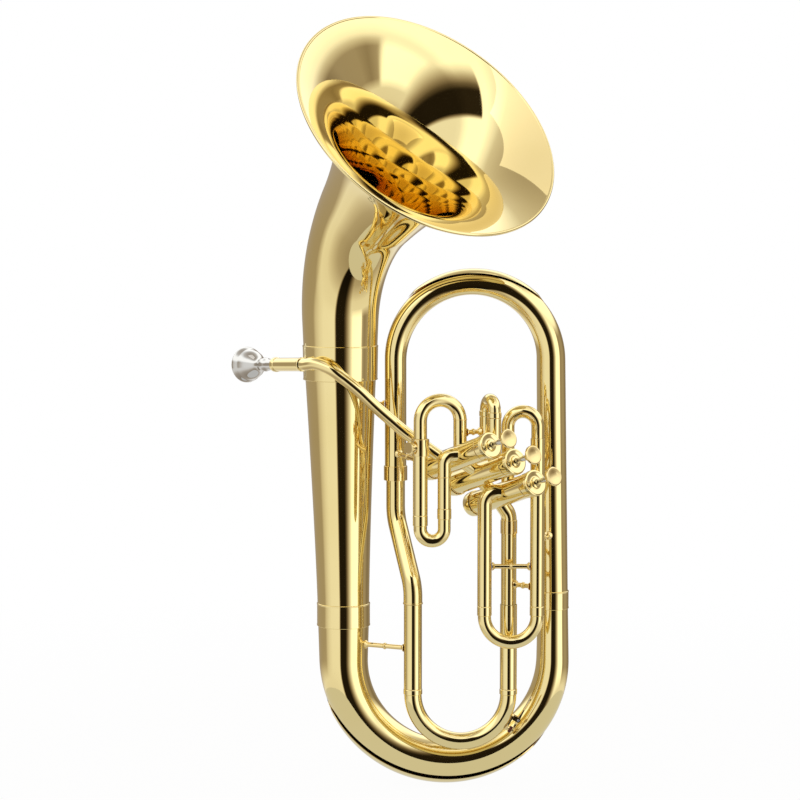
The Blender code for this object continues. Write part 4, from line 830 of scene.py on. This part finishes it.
# Third valve loop
# The longest loop: over to the right, down a long outer leg, round its slide and back
# up beside the exit tube into the third casing.
THIRD_LEFT = at(36.2, -57.0, 0)
THIRD_RIGHT = at(90.3, -57.0, 0)
entry = valve_point(2, 63 * MM)
route = [entry, *bow(flat(entry), THIRD_RIGHT, 383 * MM, False), THIRD_RIGHT + up(371.2)]
loop = sweep("third_upper_loop_tube", route, 6.7 * MM, SLIDE_WALL)
stands_for(loop, "third_upper_loop")
outer_leg("third_leg_right_tube", THIRD_RIGHT, 198 * MM, 371 * MM, 7.4 * MM, "third_leg_right")
route = rounded([THIRD_LEFT + up(198), THIRD_LEFT + up(317.5), valve_point(2, 68 * MM)], 14 * MM)
elbow = sweep("third_lower_elbow", route, 7.4 * MM, SLIDE_WALL)
stands_for(elbow, "third_lower_tube")
slide("third_slide_tube", THIRD_LEFT, THIRD_RIGHT, (198 * MM, 198 * MM), (85 * MM, 85 * MM),
      187 * MM, (6.8 * MM, 6.8 * MM), (inner_radius(7.4 * MM), inner_radius(7.4 * MM)),
      10 * MM, True, "third_slide", "third_slide")

# Exit tube
# It leads from the third casing down into the tuning slide's right outer tube.
route = rounded([valve_point(2, 44 * MM), at(62, -35, 290), at(62, -35, 196.3)], 16 * MM)
exit_tube = sweep("valve_exit_elbow", route, 8.0 * MM, SLIDE_WALL)
stands_for(exit_tube, "valve_exit_tube")
carried(collar("exit_collar", at(62, -35, 0), 270 * MM, 284 * MM, 8.7 * MM), exit_tube)

# Braces
# Turned rods with a small foot at each end, soldered between neighbouring tubes to keep
# the horn stiff. A bead marks the middle of the longer ones.
ROD_R = 2.5 * MM
FOOT_R = 4.4 * MM


def brace(cad_node, first, first_radius, second, second_radius, z):
    """A brace square between the sides of two upright tubes."""
    a = Vector((first.x, first.y, z * MM))
    b = Vector((second.x, second.y, z * MM))
    way = (b - a).normalized()
    start = a + way * (first_radius + GAP)
    length = (b - a).length - first_radius - second_radius - 2 * GAP
    foot = min(1.6 * MM, length / 4)
    middle = length / 2
    bead = []
    if length > 16 * MM:
        bead = [(ROD_R + 1.0 * MM * math.cos(math.pi * k / 8), middle - 1.4 * MM * math.sin(math.pi * k / 8))
                for k in range(-4, 5)]
        bead = [(max(r, ROD_R), h) for r, h in bead]
    rod = turned(f"{cad_node}_rod", [
        (0, length), (FOOT_R, length), (FOOT_R, length - foot * 0.5), (ROD_R * 1.5, length - foot),
        (ROD_R, length - foot * 1.8), *bead, (ROD_R, foot * 1.8), (ROD_R * 1.5, foot),
        (FOOT_R, foot * 0.5), (FOOT_R, 0), (0, 0),
    ], start, way, fine_brass, 32)
    stands_for(rod, cad_node)


top_left = Vector((left_foot.x, 0, 0))
branch_share = (401.3 * MM - LEFT_JOINT_Z) / (BELL_JOINT_Z - LEFT_JOINT_Z)
branch_x = -BOW_REACH + (BELL_STEM_X + BOW_REACH) * branch_share
brace("bell_to_top_bow_brace", Vector((branch_x, 0, 0)), branch_radius(branch_share), top_left,
      TOP_R_LEFT, 401.3)
brace("bow_to_tuning_brace", Vector((-BOW_REACH, 0, 0)), BOW_R_LEFT, TUNING_LEFT, 9.4 * MM, 149.5)
brace("first_to_second_brace", valve_point(0, 57.4 * MM), 6.8 * MM, SECOND_BACK, 6.9 * MM, 378)
brace("first_loop_brace", top_left, TOP_R_LEFT, FIRST_LEFT, 7.5 * MM, 350)
brace("third_leg_brace", THIRD_LEFT, 7.4 * MM, THIRD_RIGHT, 7.4 * MM, 239)
brace("exit_to_third_brace", TUNING_RIGHT, 8.0 * MM, THIRD_RIGHT, 7.4 * MM, 217.5)
brace("third_to_branch_brace", THIRD_RIGHT, 7.4 * MM, at(109.1, 0, 0), TOP_R_END, 265)

# Lyre holder
# A split sleeve on the first loop's outer leg with a square-set boss and a flat round
# thumb screw, which clamps the stem of a music clip.
LYRE_DIRECTION = Vector((-0.77, -0.64, 0)).normalized()
lyre_place = FIRST_LEFT + up(364)
holder = collar("lyre_sleeve", lyre_place, -8.5 * MM, 8.5 * MM, 9.1 * MM)
stands_for(holder, "lyre_holder")
boss = turned("lyre_boss", [
    (1.9 * MM, 13 * MM), (3.6 * MM, 13 * MM), (4.0 * MM, 12.6 * MM), (4.0 * MM, 9.6 * MM),
    (4.8 * MM, 8.8 * MM), (4.8 * MM, 7.9 * MM), (1.9 * MM, 7.9 * MM),
], lyre_place, LYRE_DIRECTION, fine_brass, 40)
carried(boss, holder)
screw = turned("lyre_screw_turned", [
    (0, 15.9 * MM), (5.2 * MM, 15.9 * MM), (6.4 * MM, 15.5 * MM), (6.8 * MM, 14.6 * MM),
    (6.4 * MM, 13.6 * MM), (5.0 * MM, 13.3 * MM), (1.7 * MM, 13.3 * MM), (1.7 * MM, 7.8 * MM),
    (0, 7.8 * MM),
], lyre_place, LYRE_DIRECTION, fine_brass, 48)
stands_for(screw, "lyre_screw", "lyre_screw")

# Studio
# A white room whose walls stand round the horn as soft bands, with a dark gap where the
# camera looks in. The polished brass shows them; the floor and the background are white.
WALLS = ((-180, 0.45), (-157, 0.47), (-89, 0.47), (-80, 0.72), (-65, 0.89), (-52, 0.97),
         (34, 1.0), (40, 1.5), (67, 1.6), (72, 0.5), (80, 0.37), (90, 0.46), (112, 0.44),
         (128, 0.29), (180, 0.45))
DOORWAY = ((-180, 1.0), (-17, 1.0), (-12, 0.02), (12, 0.02), (17, 0.14), (23, 0.41),
           (28, 0.68), (34, 1.0), (180, 1.0))
STRONGEST = 1.6
HEIGHTS = ((-1.0, 0.40), (-0.75, 0.55), (-0.5, 0.9), (0.30, 1.05), (0.45, 1.5), (0.68, 1.5),
           (0.82, 0.8), (1.0, 0.5))
LEVEL_BAND = 0.22
LEVEL_FADE = 0.36
DOORWAY_MIDDLE = -0.14
DOORWAY_HALF = 0.76
DOORWAY_EDGE = 0.015
SHADE = "E6C59A"
EVEN_LIGHT = 0.8

world = bpy.data.worlds.new("studio")
bpy.context.scene.world = world
world.use_nodes = True
tree = world.node_tree
way = node(tree, "ShaderNodeSeparateXYZ",
           links={0: node(tree, "ShaderNodeTexCoord").outputs["Generated"]})
toward = node(tree, "ShaderNodeMath", {"operation": "MULTIPLY"}, {1: -1.0}, {0: way.outputs["Y"]})
angle = node(tree, "ShaderNodeMath", {"operation": "ARCTAN2"},
             links={0: way.outputs["X"], 1: toward.outputs[0]})
share = node(tree, "ShaderNodeMapRange", values={1: -math.pi, 2: math.pi},
             links={0: angle.outputs[0]})


def banded(across, places, strongest):
    """Brightness that goes through (place from 0 to 1, level) pairs."""
    ramp = node(tree, "ShaderNodeValToRGB", links={0: across})
    stops = ramp.color_ramp.elements
    for k, (place, level) in enumerate(places):
        stop = stops[0] if k == 0 else stops[-1] if k == len(places) - 1 else stops.new(place)
        stop.position = place
        stop.color = (*[level / strongest] * 3, 1)
    return node(tree, "ShaderNodeMath", {"operation": "MULTIPLY"}, {1: strongest},
                {0: ramp.outputs["Color"]}).outputs[0]


def round_the_horn(bands, strongest):
    """Brightness by direction round the horn, from (degrees, level) pairs."""
    return banded(share.outputs[0], [((d + 180) / 360, level) for d, level in bands], strongest)


def away_from(middle, start, stop):
    """Rises from 0 to 1 as a direction's height leaves a middle height."""
    off = node(tree, "ShaderNodeMath", {"operation": "SUBTRACT"}, {1: middle},
               {0: way.outputs["Z"]})
    size = node(tree, "ShaderNodeMath", {"operation": "ABSOLUTE"}, links={0: off.outputs[0]})
    return node(tree, "ShaderNodeMapRange", values={1: start, 2: stop},
                links={0: size.outputs[0]}).outputs[0]


rise = node(tree, "ShaderNodeMapRange", values={1: -1.0, 2: 1.0}, links={0: way.outputs["Z"]})
high_low = banded(rise.outputs[0], [((z + 1) / 2, level) for z, level in HEIGHTS], STRONGEST)
lit = node(tree, "ShaderNodeMix", {"data_type": "FLOAT"},
           links={0: away_from(0.0, LEVEL_BAND, LEVEL_FADE), 2: round_the_horn(WALLS, STRONGEST),
                  3: high_low})
door = node(tree, "ShaderNodeMix", {"data_type": "FLOAT"}, {3: 1.0},
            {0: away_from(DOORWAY_MIDDLE, DOORWAY_HALF, DOORWAY_HALF + DOORWAY_EDGE),
             2: round_the_horn(DOORWAY, 1.0)})
room = node(tree, "ShaderNodeMath", {"operation": "MULTIPLY"},
            links={0: lit.outputs[0], 1: door.outputs[0]})
rays = node(tree, "ShaderNodeLightPath")
seen = node(tree, "ShaderNodeMath", {"operation": "MAXIMUM"},
            links={0: rays.outputs["Is Camera Ray"], 1: rays.outputs["Is Transmission Ray"]})
plain = node(tree, "ShaderNodeMapRange", values={3: EVEN_LIGHT, 4: 1.0},
             links={0: seen.outputs[0]})
level = node(tree, "ShaderNodeMix", {"data_type": "FLOAT"},
             links={0: rays.outputs["Is Glossy Ray"], 2: plain.outputs[0], 3: room.outputs[0]})
background = tree.nodes["Background"]
warm = node(tree, "ShaderNodeMix", {"data_type": "RGBA"}, {6: (*linear(SHADE), 1),
            7: (1, 1, 1, 1)}, {0: level.outputs[0]})
tree.links.new(warm.outputs[2], background.inputs["Color"])
tree.links.new(level.outputs[0], background.inputs["Strength"])

lamp_data = bpy.data.lights.new("overhead softbox", "AREA")
lamp_data.shape = "SQUARE"
lamp_data.size = 2.0
lamp_data.energy = 7.0
lamp = bpy.data.objects.new("overhead_softbox", lamp_data)
bpy.context.scene.collection.objects.link(lamp)
lamp.location = (0.3, -0.6, 2.8)
lamp.rotation_euler = (lamp.location * -1).to_track_quat("-Z", "Y").to_euler()

FLOOR_RADIUS = 1.3
FLOOR_SHADE = 0.96
TABLE_RADIUS = 0.35
TABLE_LEVEL = 0.7

# White floor: the camera sees almost plain white, and the brass sees a pale table.
floor_material, tree, shader = new_material("white floor")
shader.inputs["Base Color"].default_value = (*linear("F4F4F4"), 1)
shader.inputs["Roughness"].default_value = 0.9
rays = node(tree, "ShaderNodeLightPath")
reach = node(tree, "ShaderNodeVectorMath", {"operation": "LENGTH"},
             links={0: node(tree, "ShaderNodeTexCoord").outputs["Object"]})
fade = node(tree, "ShaderNodeMapRange", values={1: 0.35 * FLOOR_RADIUS, 2: 0.98 * FLOOR_RADIUS,
            3: FLOOR_SHADE, 4: 1.0}, links={0: reach.outputs["Value"]})
eye = node(tree, "ShaderNodeMath", {"operation": "MULTIPLY"},
           links={0: rays.outputs["Is Camera Ray"], 1: fade.outputs[0]})
white = node(tree, "ShaderNodeEmission", values={"Color": (1, 1, 1, 1), "Strength": 1.0})
mixed = node(tree, "ShaderNodeMixShader", links={0: eye.outputs[0], 1: shader.outputs[0],
                                                 2: white.outputs[0]})
table = node(tree, "ShaderNodeEmission", values={"Color": (1, 1, 1, 1), "Strength": TABLE_LEVEL})
beyond = node(tree, "ShaderNodeMath", {"operation": "GREATER_THAN"}, {1: TABLE_RADIUS},
              {0: reach.outputs["Value"]})
clear = node(tree, "ShaderNodeBsdfTransparent")
near = node(tree, "ShaderNodeMixShader", links={0: beyond.outputs[0], 1: table.outputs[0],
                                                2: clear.outputs[0]})
whole = node(tree, "ShaderNodeMixShader", links={0: rays.outputs["Is Glossy Ray"],
                                                 1: mixed.outputs[0], 2: near.outputs[0]})
tree.links.new(whole.outputs[0], tree.nodes["Material Output"].inputs["Surface"])
edge = [(FLOOR_RADIUS * math.cos(math.radians(k)), FLOOR_RADIUS * math.sin(math.radians(k)), 0)
        for k in range(0, 360, 3)]
floor = smooth_object("floor", edge, [tuple(range(len(edge)))], floor_material)
floor.location.z = -1.0 * MM

# Camera
# A long lens a little above the middle of the horn, as the photograph was taken.
CAMERA_TILT = math.radians(4.9)
CAMERA_DISTANCE = 2.61
CAMERA_AIM = Vector((-0.0506, 0, 0.4055))
camera_data = bpy.data.cameras.new("camera")
camera_data.lens = 112.5
camera_data.sensor_width = 36
camera_data.clip_end = 100
camera = bpy.data.objects.new("camera", camera_data)
bpy.context.scene.collection.objects.link(camera)
camera_way = Vector((0, -math.cos(CAMERA_TILT), math.sin(CAMERA_TILT)))
camera.location = CAMERA_AIM + camera_way * CAMERA_DISTANCE
camera.rotation_euler = (math.pi / 2 - CAMERA_TILT, 0, 0)
bpy.context.scene.camera = camera
bpy.context.scene.view_settings.view_transform = "Standard"
bpy.context.scene.cycles.glossy_bounces = 10
